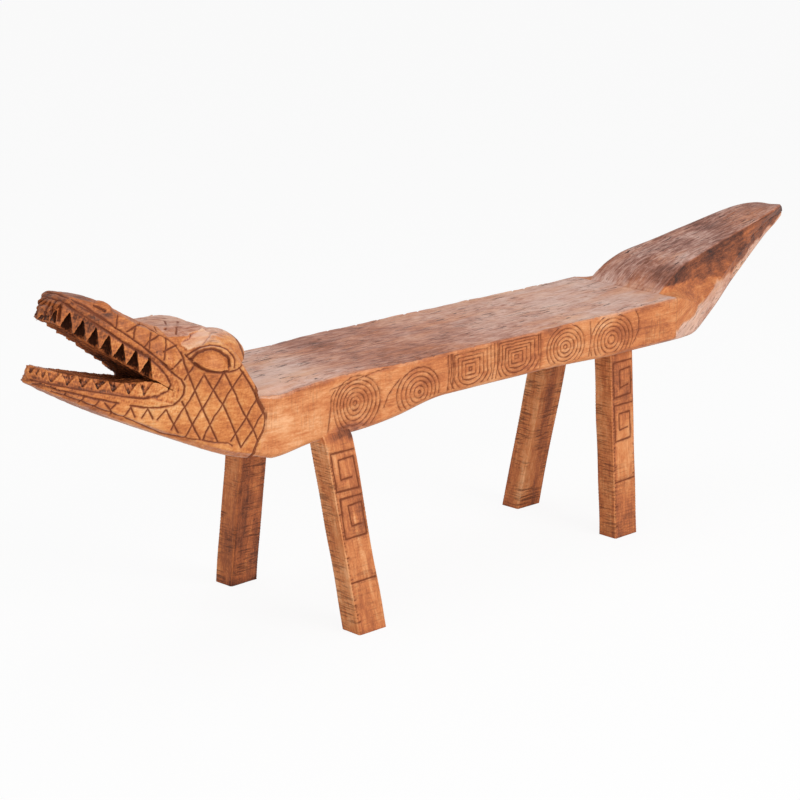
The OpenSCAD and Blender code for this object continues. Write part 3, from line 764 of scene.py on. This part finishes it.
# %% Panels on the sides of the seat
def nested(s, z, shape, cs, cz, right, left, up, down, first, count):
    """Distance from nested rings or squares whose spacing differs in the four directions"""
    step_s, step_z = np.where(s > cs, right, left), np.where(z > cz, up, down)
    u, v = abs(s - cs) / step_s, abs(z - cz) / step_z
    size = np.hypot(u, v)
    if shape == "squares":
        square = np.maximum(u, v)
        bow = ease(z, cz - 16, cz - 2, 1, 0) * ease(square, 1.2, 3.2, 0, 1)
        size = square + (size * 0.9 - square) * bow
    size = size + 1 - first
    spacing = (step_s * u + step_z * v) / (u + v + 1e-6)
    return abs(size - np.clip(np.round(size), 1, count)) * spacing


PANELS = [
    ("rings", 657, 432, 9.3, 8.4, 8.4, 9.6, 0.5, 7),
    ("rings", 815, 428, 10.2, 11.0, 9.5, 9.5, 0.3, 6),
    ("squares", 955, 448, 11.0, 9.7, 8.3, 8.5, 0.4, 7),
    ("squares", 1090, 451, 11.8, 9.3, 6.5, 8.5, 0.5, 6),
    ("rings", 1235, 447, 10.5, 10.0, 8.5, 9.0, 0.5, 6),
    ("rings", 1379, 437, 11.2, 11.2, 9.4, 9.6, 1.0, 6),
]
PANEL_LINES = [
    [(606, 467), (597, 455), (594, 432), (590, 403), (588, 384)],
    [(727, 412), (736, 434), (750, 450), (765, 463)],
    [(895, 489), (896, 454), (892, 415)], [(907, 489), (908, 454), (905, 415)],
    [(1024, 490), (1026, 450), (1020, 416)], [(1034, 490), (1035, 450), (1031, 416)],
    [(1160, 488), (1163, 450), (1160, 414)], [(1310, 488), (1313, 450), (1308, 412)],
    [(1455, 491), (1465, 471), (1466, 445), (1457, 428), (1448, 417)],
    [(593, 471), (631, 475), (662, 479), (694, 484), (729, 490), (767, 493.5)],
]


def panel_distance(s, z):
    """Distance from the nearest cut of the side panels"""
    best = np.full(len(s), FAR_AWAY)
    bounds = [592, 742, 890, 1027, 1161, 1311, 1464]
    for panel, start, end in zip(PANELS, bounds[:-1], bounds[1:]):
        here = (s > start + 3) & (s < end - 3) & (z < 492)
        best[here] = np.minimum(best[here], nested(s[here], z[here], *panel))
    side = np.column_stack([s, z])
    for line in PANEL_LINES:
        best = np.minimum(best, line_distance(side, line))
    return best


print("panels", len(PANELS), "lines between them", len(PANEL_LINES))

# %% [markdown]
# The bar of the seat gets its rings 4 mm apart at both ends and 1.8 mm apart where the panels are.
# Then the panels are cut, the flat faces get the slow unevenness of the adze, and the side swings
# in a little behind the neck.

# %% Cut the seat
counts = [4, 3, 1, 1, 4, 2, 2, 17, 17, 17, 3, 10]
stations = np.concatenate([np.arange(397, 586, 4.0), np.arange(586, 1470, 1.8),
                           np.arange(1470, TAIL_S - 1, 4.0), [TAIL_S]])
points, faces = loft(stations, log_half, counts)
s, y, z = points.T
w = np.array([half_w(v) for v in s])
on_side = (abs(y) > w - 2.5) & (z < SEAT_H - 4) & (s < 1500)
cut = np.full(len(points), FAR_AWAY)
wander = 1.0 * gentle(points * [1, 0, 1], 110, 6)
cut[on_side] = panel_distance((s + wander)[on_side], (z + 0.7 * wander)[on_side])
uneven = 1 + 0.25 * gentle(points, 35, 9)
points[:, 1] -= np.sign(y) * np.where(on_side, groove(cut, 1.9, 1.25) * uneven, 0)
calm = ease(s, TAIL_S - 90, TAIL_S - 10, 1, 0)
points[:, 1] += np.where(abs(y) > w * 0.9, np.sign(y) * calm * (0.7 * gentle(points, 120, 3) - 0.7), 0)
top = (z > SEAT_H - 1) & (abs(y) < w - EDGE_R + 1)
points[:, 2] += np.where(top, calm * (1.1 * gentle(points * [1, 2.2, 1], 260, 4) - 1.2), 0)
beside = (z < SEAT_H - 3) * ease(abs(y), w * 0.8, w * 0.95, 0, 1)
points[:, 1] -= np.sign(y) * 4.5 * np.exp(-np.maximum(s - 430, 0) / 34) * beside
print("seat rings", len(stations))

# %% [markdown]
# The long top edges are worn by sitting: the near one is up to 10 mm lower where people step over
# the neck, and small splinters have broken out of it. A table of places gives the loss, and the
# upper part of the side comes down with the edge.

# %% Wear of the edges
LOSS = [[397, 2], [425, 4], [444, 7], [469, 10], [493, 8.5], [510, 5.5], [555, 3], [583, 3], [611, 2.5],
        [657, 1], [707, 0.2], [1590, 0.2]]
loss = np.interp(s, *np.array(LOSS).T) * np.where(y < 0, 1, 0.3)
loss += calm * 0.5 * (1 + gentle(points * [1, 0, 0], 60, 5))
splinter = calm * 1.6 * ease(gentle(points * [1, 0.3, 0.3], 17, 15), 0.5, 1.3, 0, 1)
share = ease(abs(y), w - 34, w - 5, 0, 1) * ease(z, SEAT_H - 42, SEAT_H - 2, 0, 1)
points[:, 2] -= share * (loss + splinter)
print("edge loss up to", round(float((share * (loss + splinter)).max()), 1), "mm")

# %% [markdown]
# The sides keep the warm colour of the wood, darker under the worn edge and around the top of the
# foreleg. The top is grey at both ends, a weathered bloom with painted sheen in it, and redder in the
# middle, where the seat is rubbed most.

# %% Finish guides of the seat
s, y, z = points.T
below = np.array([under_z(v) for v in np.minimum(s, TAIL_S - 1)])
side_tone = 0.635 + 0.05 * gentle(points, 120, 8) + ease(s, 600, 560, 0, 0.07)
side_tone = side_tone + 0.04 * np.exp(-(((s - 680) / 130) ** 2))
patchy = 0.7 + 0.5 * gentle(points * [1, 0, 0], 70, 16)
side_tone = side_tone - 0.12 * ease(z, SEAT_H - 22, SEAT_H - 6, 0, 1) * patchy
over_leg = np.exp(-(((s - 650) / 42) ** 2 + ((z - 380) / 16) ** 2))
side_tone = side_tone - over_leg * (0.34 + 0.16 * gentle(points, 14, 17))
tone = np.where(s < TAIL_S - 130, side_tone, side_tone + ease(s, TAIL_S - 130, TAIL_S, 0, -0.03))
# the grey of the top is weathering with painted sheen in it
top_grey = np.interp(s, [397, 620, 700, 900, 1100, 1300, 1590], [0.97, 0.95, 0.66, 0.60, 0.75, 0.88, 0.95])
grey = np.where(z > SEAT_H - 7 - loss, top_grey * ease(abs(y), w + 1, w - 7, 0, 1), 0)
top_tone = np.interp(s, [397, 560, 640, 720, 860, 1000, 1350, 1590],
                     [0.80, 0.74, 0.60, 0.42, 0.44, 0.54, 0.68, 0.64])
tone = np.where(grey > 0.3, top_tone, tone)
grey = np.maximum(grey, np.where(z < below + 3, 0.5, 0))
grey = np.maximum(grey, 0.25 * over_leg)
rough_saw = 0.16 + 0.10 * ease(s, 600, 560, 0, 1) + 0.16 * ease(s, 1455, 1475, 0, 1)
rough_saw = np.where(grey > 0.3, 0.10, rough_saw)
cut = np.minimum(cut + 0.35, abs(s - neck_s(z) - 4.5))
seat = piece("seat_log", points - [BODY_L / 2, 0, 0], faces, "carved_wood", ["carved_body"])
keep_wear(seat, cut, tone, grey, rough_saw, np.column_stack([y, z, s]))
print("tones of the seat from", tone.min().round(2), "to", tone.max().round(2))

# %% [markdown]
# ## The tail
# Its five lines are the ridge, the shoulder under it, the edge of the side, the lower flank and the
# keel. The adze left its whole surface uneven, but the two ends stay true, because the seat meets
# the one and the other comes to a point.

# %% Tail
counts = [6, 6, 1, 10, 10, 2, 2, 6, 4, 6, 8, 10]
stations = np.concatenate([np.arange(TAIL_S, BODY_L - 1, 3.0), [BODY_L]])
points, faces = loft(stations, tail_half, counts)
n_ring = 2 * sum(counts)
s, y, z = points.T
t = (s - TAIL_S) / TAIL_L
steps = np.cumsum([0] + counts)
row = np.arange(len(points)) % n_ring
row = np.minimum(row, n_ring - row)
row[-2:] = 0
amount = ease(t, 0, 0.12, 0, 1) * ease(t, 1, 0.93, 0.3, 1)
points[:, 2] += amount * 1.5 * gentle(points * [0.6, 1.6, 1.6], 110, 12) * (row < steps[3])
points[:, 1] += np.sign(y) * amount * 1.0 * gentle(points, 130, 13) * (row >= steps[3])
print("tail rings", len(stations))

# %% [markdown]
# The colours of the tail change along two lines: the undercut side under the ridge is dark, as
# painted shade that deepens close to the ridge, the wood below it is orange, and towards the bottom
# it turns paler and greyer. Each line is a small table of places and heights, and a slow wobble
# keeps it from looking drawn.

# %% Finish guides of the tail
RED_LOW = [[1590, 503], [1626, 507], [1675, 514], [1707, 508], [1779, 505], [1800, 500], [1840, 500],
           [1911, 520], [1980, 547], [2057, 566], [2135, 592]]
PALE_HIGH = [[1590, 419], [1602, 420], [1628, 431], [1650, 439], [1667, 451], [1678, 463], [1716, 468],
             [1743, 482], [1782, 494], [1840, 498], [1911, 522], [1980, 548], [2057, 566], [2135, 590]]
wobble = 5 * gentle(points, 40, 18) + 2.5 * gentle(points, 15, 19)
beside = row >= steps[3]
# red marks the undercut side under the ridge, which gets painted shade
red = beside * ease(z + wobble * 0.8, curve(s, RED_LOW) - 3, curve(s, RED_LOW) + 3, 0, 1)
red = red * ease(t, 0.005, 0.03, 0, 1)
pale = beside * ease(z + wobble, curve(s, PALE_HIGH) + 4, curve(s, PALE_HIGH) - 4, 0, 1)
tone = np.where(beside, 0.57, ease(t, 0, 0.05, 0.60, 0.45)) + 0.06 * gentle(points, 120, 8)
tone = tone - 0.28 * red + 0.16 * pale
tone -= red * 0.09 * ease(gentle(points, 34, 20), 0, 1, 0, 1)
ridge = curve(t, RIDGE)[:, 1] * TAIL_LIFT + SEAT_H
# painted shade: darker still close under the ridge
tone -= red * 0.16 * ease(z, ridge - 30, ridge - 4, 0, 1) - 0.06 * red
flank_line = np.where((row == steps[10]) & (t < 0.2), 0.9, FAR_AWAY)
grey = np.where(beside, 0, 0.95) + 0.62 * pale
tail = piece("tail", points - [BODY_L / 2, 0, 0], faces, "carved_wood", ["carved_body"])
slope = np.interp(s, [TAIL_S, TAIL_S + 120, BODY_L], [0, 60, 125])
keep_wear(tail, flank_line, tone, grey, 0.25, np.column_stack([y, z - slope, s]))
print("dark points", int((red > 0.5).sum()), "pale points", int((pale > 0.5).sum()))

# %% [markdown]
# ## The legs
# Each leg is a square bar that leans outwards and along the bench. Its outer face carries two
# square spirals and a few lines, written as corners across the face and along the leg. Its top end
# runs a little way up the side of the log, where it dips under the surface.

# %% Leg places
def leg_axes(leg, side):
    """Origin and turning matrix that carry an upright leg to its place"""
    a, b = math.radians(side * leg["splay"]), math.radians(leg["rake"])
    rx = np.array([[1, 0, 0], [0, math.cos(a), -math.sin(a)], [0, math.sin(a), math.cos(a)]])
    ry = np.array([[math.cos(b), 0, math.sin(b)], [0, 1, 0], [-math.sin(b), 0, math.cos(b)]])
    return np.array([leg["x"], side * leg["y"], 0.0]), ry @ rx


KEYS = {
    "foreleg": [
        [(15, 303), (-13, 302), (-11, 340), (26, 342), (28, 280), (-28, 281), (-27, 355), (33, 355)],
        [(18, 211), (-6, 210), (-7, 250), (27, 252), (28, 189), (-27, 188), (-24, 266), (36, 266)],
        [(-34, 102), (36, 103)]],
    "hindleg": [
        [(18, 325), (-7, 320), (-7, 358), (26, 361), (27, 304), (-28, 301), (-28, 376), (33, 377)],
        [(14, 233), (-12, 230), (-13, 265), (22, 266), (22, 210), (-26, 207), (-28, 285), (36, 284)],
        [(-32, 120), (34, 122)]],
}
LEG_W, LEG_T, LEG_R, COLLAR, LEG_STEP = 72.0, 50.0, 4.0, 26.0, 1.9


def leg_section():
    """Points of the square section with rounded corners, about LEG_STEP apart"""
    across, through = LEG_W / 2 - LEG_R, LEG_T / 2 - LEG_R
    out = []
    for cx, cy, a0 in ((1, 1, 0), (-1, 1, 90), (-1, -1, 180), (1, -1, 270)):
        for k in range(5):
            a = math.radians(a0 + 22.5 * k)
            out.append((cx * across + LEG_R * math.cos(a), cy * through + LEG_R * math.sin(a)))
    dense = []
    for a, b in zip(out, out[1:] + out[:1]):
        n = max(1, round(math.dist(a, b) / LEG_STEP))
        dense += [np.array(a) + (np.array(b) - a) * k / n for k in range(n)]
    return np.array(dense)


print("points around a leg", len(leg_section()))

# %% [markdown]
# The saw and the chisel also left short ticks along the edges of the outer face. They are spread
# with a random generator that starts from a number of the leg's own, so they fall in the same
# places each time.

# %% Cuts of a leg
TICKS, NEAR_TICKS, TICK_STEP = 58, 45, 7.1


def leg_cuts(kind, side, seed, u, v, h, top):
    """Distance of each point of a leg from its nearest cut, and whether it is on the outer face"""
    out_face = (v * side > LEG_T / 2 - 0.6) & (abs(u) < LEG_W / 2 - 1)
    flat = np.column_stack([u, h])[out_face]
    best = np.full(len(flat), FAR_AWAY)
    for line in KEYS[kind]:
        best = np.minimum(best, line_distance(flat, line))
    ticks = np.random.default_rng(seed)
    for k in range(TICKS):
        near = k < NEAR_TICKS
        at = 24 + k * TICK_STEP + ticks.uniform(-1.5, 1.5) if near else ticks.uniform(20, top - 60)
        reach = ticks.uniform(2.5, 6) if k % 6 else ticks.uniform(7, 12)
        start, end = (-LEG_W / 2, reach - LEG_W / 2) if near else (LEG_W / 2 - reach, LEG_W / 2)
        best = np.minimum(best, line_distance(flat, [(start, at), (end, at + 1)]) + 0.5)
    cut = np.full(len(u), FAR_AWAY)
    cut[out_face] = best
    return cut, out_face


print("ticks on each leg", TICKS)

# %% [markdown]
# A leg is built upright in its own space, cut there, and then leaned into place. The foot is
# trimmed level by sliding the points along the grain. Each leg has its own lightness, because the
# four were sawn from different parts of the log, and the saw shows more on some of them.

# %% Make the legs
# how light each leg is, and how much the saw marks show on it
LEG_LOOKS = {"foreleg_left": (0.60, 0.7), "foreleg_right": (0.39, 1.0), "hindleg_left": (0.55, 0.7),
             "hindleg_right": (0.56, 0.9)}
SAW_STEP = 6.3


def make_leg(kind, side, name, seed):
    """Make one leg; side is -1 for the near one of a pair and 1 for the far one"""
    leg = LEGS[kind]
    origin, turn = leg_axes(leg, side)
    section = leg_section()
    top = leg["land"] / (math.cos(math.radians(leg["rake"])) * math.cos(math.radians(leg["splay"])))
    heights = np.arange(0, top + COLLAR, top / round(top / LEG_STEP))
    u, v = np.tile(section[:, 0], len(heights)), np.tile(section[:, 1], len(heights))
    h = np.repeat(heights, len(section))
    lean = -(turn[2, 0] * u + turn[2, 1] * v) / turn[2, 2]
    local = np.column_stack([u, v, h + lean])
    cut, out_face = leg_cuts(kind, side, seed, u, v, h, top)
    saw = (h + 0.1 * u) * 2 * math.pi / SAW_STEP + 2.5 * gentle(local * [0.4, 0.4, 1], 60, seed + 1)
    rough = ease(gentle(local * [1, 1, 0.6], 90, seed + 2), -0.2, 0.7, 0, 1)
    saw = np.clip(np.sin(saw), 0, 1) ** 3 * rough
    sink = groove(cut, 2.2, 1.35)
    sink += saw * 0.55 * np.where(out_face, 0.35, 1)
    sink += 0.6 + 0.6 * gentle(local * [1, 1, 0.5], 80, seed + 3)
    away = np.column_stack([np.where(abs(u) > LEG_W / 2 - LEG_R, np.sign(u), 0),
                            np.where(abs(v) > LEG_T / 2 - LEG_R, np.sign(v), 0)])
    local[:, :2] -= away * sink[:, None]
    local[:, 1] -= side * ease(h, top - 4, top + COLLAR, 0, 9) * (v * side > 0)
    points = local @ turn.T + origin
    points[:, 2] = np.maximum(points[:, 2], 0)
    made = piece(name, *skin_rings(points, len(section)), "leg_wood", [name])
    shade, saw_share = LEG_LOOKS[name]
    tone = shade + 0.06 * gentle(local * [1, 1, 0.3], 70, seed + 4) - 0.12 * saw
    tone += 0.08 * (abs(abs(u) - LEG_W / 2) < 3) * (abs(abs(v) - LEG_T / 2) < 3)
    # painted light: the left face of each leg is made lighter, more on the near legs
    tone += (0.10 if side < 0 else 0.05) * (u < 2 - LEG_W / 2)
    # painted shade, in patches, where the top of the leg meets the log
    top_shade_patches = ease(gentle(local, 18, seed + 5), -0.9, 0.5, 0.5, 1)
    tone -= 0.28 * ease(h, top - 16, top + 2, 0, 1) * top_shade_patches
    tone -= 0.12 * ease(h, 26, 0, 0, 1)
    # the two middle points of the ends come last, and lie in no cut
    ends = np.zeros(2)
    grain = np.vstack([np.column_stack([u, v, h]), np.zeros((2, 3))]) + [seed * 31.0, 0, seed * 57.0]
    keep_wear(made, np.append(np.maximum(cut - 0.35, 0), ends + FAR_AWAY), np.append(tone, ends + 0.3),
              0, np.append(saw_share * np.where(out_face, 0.55, 1), ends), grain)
    return made


legs = [make_leg("foreleg", -1, "foreleg_left", 21), make_leg("foreleg", 1, "foreleg_right", 34),
        make_leg("hindleg", -1, "hindleg_left", 47), make_leg("hindleg", 1, "hindleg_right", 58)]
print("legs made", len(legs))

# %% [markdown]
# ## The finish
# Waxed tropical wood has several colours at once: orange-brown fibres, darker red bands, tan rims
# where hands rub, nearly black wax in the cuts, and a greyish bloom on top where light and use
# have bleached it, here with a painted sheen in it. Each is one mix in the node tree, driven by noise
# stretched along the grain and by the guides that the pieces carry. A picture of wood would be
# quicker but would slide over the carving instead of following it.

# %% Node helpers
def new_tree(name):
    material = bpy.data.materials.new(name)
    material.use_nodes = True
    tree = material.node_tree
    tree.nodes.clear()
    return material, tree


def add(tree, kind, inputs=None, **settings):
    """New node; each input gets a link or a value"""
    node = tree.nodes.new("ShaderNode" + kind)
    for key, value in settings.items():
        setattr(node, key, value)
    for key, value in (inputs or {}).items():
        if isinstance(value, bpy.types.NodeSocket):
            tree.links.new(value, node.inputs[key])
        else:
            node.inputs[key].default_value = value
    return node


def show(tree, shader, output="OutputMaterial"):
    """Lead a shader to the output of its tree"""
    tree.links.new(shader, add(tree, output).inputs[0])


def math_node(tree, operation, a, b=0.0, c=0.0, clamp=False):
    return add(tree, "Math", {0: a, 1: b, 2: c}, operation=operation, use_clamp=clamp).outputs[0]


def ramp(tree, value, stops):
    """Colour that goes from stop to stop as the value rises"""
    node = add(tree, "ValToRGB", {"Fac": value})
    items = node.color_ramp.elements
    items[0].position, items[1].position = stops[0][0], stops[-1][0]
    items[0].color, items[1].color = (*stops[0][1], 1), (*stops[-1][1], 1)
    for place, colour in stops[1:-1]:
        items.new(place).color = (*colour, 1)
    return node.outputs["Color"]


def stretch(tree, vector, scale):
    return add(tree, "Mapping", {"Vector": vector, "Scale": scale}).outputs[0]


def noise(tree, vector, scale, detail=4.0, rough=0.5, twist=0.0):
    return add(tree, "TexNoise", {"Vector": vector, "Scale": scale, "Detail": detail, "Roughness": rough,
                                  "Distortion": twist}).outputs["Fac"]


def between(tree, value, low, high, to_low=0.0, to_high=1.0):
    """Gentle step of a value from to_low at low to to_high at high"""
    return add(tree, "MapRange", {"Value": value, "From Min": low, "From Max": high, "To Min": to_low,
                                  "To Max": to_high}, interpolation_type="SMOOTHSTEP").outputs[0]


def mix(tree, share, a, b):
    """Colour a, with a share of colour b over it"""
    return add(tree, "Mix", {0: share, 6: a, 7: b}, data_type="RGBA").outputs[2]


print("node helpers ready")

# %% [markdown]
# The wood itself is a colour ramp from nearly black to pale tan. Where a point lies on it depends
# on its tone and on five noises, from broad clouds down to single flecks. Most of them are
# stretched along the grain, because fibres are long and thin.

# %% Colour of the wood
PALETTE = [(0.0, (0.030, 0.009, 0.005)), (0.16, (0.105, 0.028, 0.012)), (0.32, (0.250, 0.072, 0.027)),
           (0.46, (0.400, 0.116, 0.038)), (0.60, (0.540, 0.180, 0.058)), (0.76, (0.650, 0.270, 0.105)),
           (1.0, (0.790, 0.430, 0.225))]


def shifted(tree, level, value, share):
    """Level moved by a noise, counted from the middle of the noise"""
    return math_node(tree, "MULTIPLY_ADD", math_node(tree, "SUBTRACT", value, 0.5), share, level)


def wood_noises(tree, grain):
    """Fibre, bands, cloud, stain and fleck, from the place in the wood"""
    return {"fibre": noise(tree, stretch(tree, grain, (1, 1, 0.05)), 230, 5, 0.65, 0.25),
            "bands": noise(tree, stretch(tree, grain, (1, 1, 0.14)), 30, 4, 0.6, 0.8),
            "cloud": noise(tree, grain, 11, 4, 0.6),
            "stain": noise(tree, stretch(tree, grain, (1, 1, 0.5)), 70, 5, 0.7, 0.5),
            "fleck": noise(tree, stretch(tree, grain, (1, 1, 0.35)), 480, 2, 0.5)}


def wood_colour(tree, found, tone, amber):
    """Colour of the bare wood; amber below 1 takes blue away"""
    level = tone
    for name, share in (("fibre", 0.50), ("bands", 0.60), ("cloud", 0.55), ("stain", 0.60), ("fleck", 0.30)):
        level = shifted(tree, level, found[name], share)
    return ramp(tree, level, [(place, (r, g, b * amber)) for place, (r, g, b) in PALETTE])


print("colours of the wood", len(PALETTE))

# %% [markdown]
# Light and use leave a greyish bloom on the surfaces that face up, in long soft patches, and short
# dark cracks along the grain, in groups. The bloom also carries a painted sheen, the pale reflection
# that tops show. Both follow the grey guide of the mesh.

# %% Bloom and cracks
def bloom_and_sheen_over(tree, colour, grain, found, tone, grey):
    """Colour with the bloom and its painted sheen over it"""
    streak = noise(tree, stretch(tree, grain, (1, 1, 0.16)), 170, 6, 0.7, 0.3)
    streak = shifted(tree, streak, found["cloud"], 0.45)
    streak = shifted(tree, streak, found["stain"], 0.35)
    streak = shifted(tree, streak, tone, 0.8)
    sheen_and_bloom = ramp(tree, streak, [(0.28, (0.140, 0.050, 0.034)), (0.42, (0.335, 0.155, 0.115)),
                                (0.55, (0.540, 0.325, 0.265)), (0.74, (0.700, 0.510, 0.445))])
    patch = noise(tree, stretch(tree, grain, (1, 1, 0.3)), 14, 3, 0.6)
    patch = between(tree, patch, 0.30, 0.62, 0.45, 1.0)
    return mix(tree, math_node(tree, "MULTIPLY", grey, patch, clamp=True), colour, sheen_and_bloom)


def cracks_over(tree, colour, grain, grey):
    """Colour with the cracks, and the cracks themselves"""
    split = noise(tree, stretch(tree, grain, (1, 1, 0.13)), 190, 3, 0.55, 0.6)
    split = between(tree, split, 0.595, 0.640)
    group = between(tree, noise(tree, stretch(tree, grain, (1, 1, 0.6)), 10, 2), 0.42, 0.56)
    more_on_top = math_node(tree, "MULTIPLY_ADD", grey, 0.85, 0.12)
    split = math_node(tree, "MULTIPLY", split, more_on_top, clamp=True)
    split = math_node(tree, "MULTIPLY", split, group, clamp=True)
    return mix(tree, split, colour, (0.038, 0.014, 0.009, 1)), split


print("bloom and cracks ready")

# %% [markdown]
# The saw left fine marks across the grain, so that noise is stretched the other way. The wax lies
# in the cuts, darkest in the middle and uneven along them, with a thin reddish smear beside each
# cut where the rag dragged it out.

# %% Saw marks and wax
def saw_marks_over(tree, colour, grain, saw):
    """Colour with the marks of the saw, and the marks themselves"""
    teeth = noise(tree, stretch(tree, grain, (0.07, 0.07, 1)), 330, 4, 0.65, 0.3)
    where = between(tree, noise(tree, grain, 20, 3), 0.34, 0.58)
    marks = math_node(tree, "MULTIPLY", between(tree, teeth, 0.49, 0.61), where)
    marks = math_node(tree, "MULTIPLY", marks, saw, clamp=True)
    return mix(tree, math_node(tree, "MULTIPLY", marks, 0.85), colour, (0.095, 0.026, 0.011, 1)), marks


def wax_over(tree, colour, grain, near):
    """Colour with the wax, and how waxed each point is"""
    uneven = between(tree, noise(tree, grain, 90, 3), 0.3, 0.7, 0.7, 1.5)
    from_cut = math_node(tree, "MULTIPLY", near, uneven)
    waxed = between(tree, from_cut, 0.09, 0.28, 0.88, 0.0)
    smear = between(tree, from_cut, 0.1, 0.8, 0.30, 0.0)
    colour = mix(tree, smear, colour, (0.180, 0.048, 0.018, 1))
    return mix(tree, waxed, colour, (0.155, 0.034, 0.009, 1)), waxed


print("saw marks and wax ready")

# %% [markdown]
# One function lays the finish together in the order in which the real bench got it. The head is a
# little more amber than the seat, the wood inside the mouth is bare and dull, and the legs were
# left as sawn, so each gets its own version.

# %% Waxed wood
def waxed_wood(name, roughness, coat, shine=0.22, amber=1.0):
    material, tree = new_tree(name)
    grain = add(tree, "Attribute", attribute_name="grain").outputs["Vector"]
    wear = add(tree, "Attribute", attribute_name="wear")
    near, tone, grey = add(tree, "SeparateColor", {"Color": wear.outputs["Color"]}).outputs
    found = wood_noises(tree, grain)
    colour = wood_colour(tree, found, tone, amber)
    colour = bloom_and_sheen_over(tree, colour, grain, found, tone, grey)
    colour, split = cracks_over(tree, colour, grain, grey)
    colour, marks = saw_marks_over(tree, colour, grain, wear.outputs["Alpha"])
    colour, waxed = wax_over(tree, colour, grain, near)
    height = math_node(tree, "MULTIPLY", found["bands"], 0.25)
    gloss = roughness - 0.11
    for value, share in ((found["fibre"], 0.35), (split, -1.4), (marks, -0.7)):
        height = math_node(tree, "MULTIPLY_ADD", value, share, height)
    for value, share in ((found["fibre"], 0.22), (waxed, 0.15), (grey, 0.12)):
        gloss = math_node(tree, "MULTIPLY_ADD", value, share, gloss)
    bump = add(tree, "Bump", {"Strength": 0.7, "Distance": 0.0014, "Height": height}).outputs[0]
    shader = add(tree, "BsdfPrincipled", {"Base Color": colour, "Roughness": gloss, "Normal": bump,
                                          "Specular IOR Level": shine, "Coat Weight": coat,
                                          "Coat Roughness": 0.3})
    show(tree, shader.outputs[0])
    return material


carved = waxed_wood("waxed carved wood", roughness=0.50, coat=0.03)
head_wood = waxed_wood("amber wood of the head", roughness=0.50, coat=0.03, amber=0.84)
bare = waxed_wood("bare wood inside the mouth", roughness=0.80, coat=0.0, shine=0.03, amber=0.9)
sawn = waxed_wood("sawn leg wood", roughness=0.58, coat=0.02)
dressed = [(head, [head_wood, bare]), (seat, [carved]), (tail, [carved])] + [(leg, [sawn]) for leg in legs]
for made, finishes in dressed:
    for finish in finishes:
        made.data.materials.append(finish)
print("materials", [m.name for m in (carved, head_wood, bare, sawn)])

# %% [markdown]
# The small wedges inside the leg joints are cut from a darker, harder wood. They can't be seen on
# the finished bench, but they are there, so they get a finish as well: plain end grain.

# %% Wedge wood
material, tree = new_tree("hard wedge wood")
place = add(tree, "TexCoord").outputs["Object"]
fibre = noise(tree, stretch(tree, place, (1, 1, 0.08)), 160, 4, 0.6, 0.3)
colour = ramp(tree, fibre, [(0.3, (0.10, 0.035, 0.015)), (0.7, (0.26, 0.11, 0.05))])
bump = add(tree, "Bump", {"Strength": 0.4, "Distance": 0.0006, "Height": fibre}).outputs[0]
shader = add(tree, "BsdfPrincipled", {"Base Color": colour, "Roughness": 0.6, "Normal": bump})
show(tree, shader.outputs[0])
for node_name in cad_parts:
    if node_name.endswith("_wedge"):
        wedge = bpy.data.objects[node_name]
        wedge.data.materials.clear()
        wedge.data.materials.append(material)
print("wedges finished")

# %% [markdown]
# ## Floor and light
# The bench stands on a pale plain floor that runs into a white distance. One large soft lamp on
# the camera's right lights the carved side, a weaker one in front lights the jaws and the narrow
# faces of the legs, a wide one above lights the seat, and the white world fills the shadows. The
# floor keeps the soft shadow of the bench.

# %% Floor, world and lamps
material, tree = new_tree("pale floor")
is_camera = add(tree, "LightPath").outputs["Is Camera Ray"]
cloud = noise(tree, add(tree, "TexCoord").outputs["Object"], 2.0, 3)
paint = ramp(tree, cloud, [(0.3, (0.86, 0.86, 0.86)), (0.7, (0.88, 0.88, 0.88))])
matte = add(tree, "BsdfDiffuse", {"Color": paint}).outputs[0]
glow = add(tree, "Emission", {"Color": (1, 1, 1, 1), "Strength": 1.0}).outputs[0]
share = math_node(tree, "MULTIPLY", is_camera, 0.91)
both = add(tree, "MixShader", {0: share, 1: matte, 2: glow}).outputs[0]
show(tree, both)
size = 30.0
mesh = bpy.data.meshes.new("floor")
mesh.from_pydata([(-size, -size, 0), (size, -size, 0), (size, size, 0), (-size, size, 0)], [], [(0, 1, 2, 3)])
floor = set_out("floor", mesh)
mesh.materials.append(material)

world = bpy.data.worlds.new("World")
bpy.context.scene.world = world
world.use_nodes = True
tree = world.node_tree
tree.nodes.clear()
path = add(tree, "LightPath")
seen = math_node(tree, "MAXIMUM", path.outputs["Is Camera Ray"], path.outputs["Is Glossy Ray"])
seen = math_node(tree, "MAXIMUM", seen, path.outputs["Is Transmission Ray"])
fill = add(tree, "Background", {"Color": (1, 1, 1, 1), "Strength": 0.5}).outputs[0]
white = add(tree, "Background", {"Color": (1, 1, 1, 1), "Strength": 1.0}).outputs[0]
both = add(tree, "MixShader", {0: seen, 1: fill, 2: white}).outputs[0]
show(tree, both, "OutputWorld")


def lamp(name, location, aim, power, size):
    light = bpy.data.lights.new(name, "AREA")
    light.energy, light.size = power, size
    made = set_out(name, light)
    made.location = location
    made.rotation_euler = (Vector(location) - Vector(aim)).to_track_quat("Z", "Y").to_euler()


lamp("side lamp", (0.9, -4.2, 2.2), (0, 0, 0.4), 118, 2.4)
lamp("front lamp", (-3.9, -2.6, 1.3), (0, 0, 0.35), 56, 2.0)
lamp("top lamp", (-0.5, 0.6, 4.2), (0, 0, 0.4), 30, 2.6)
bpy.context.scene.view_settings.view_transform = "Standard"
print("floor", floor.name, "lamps placed")
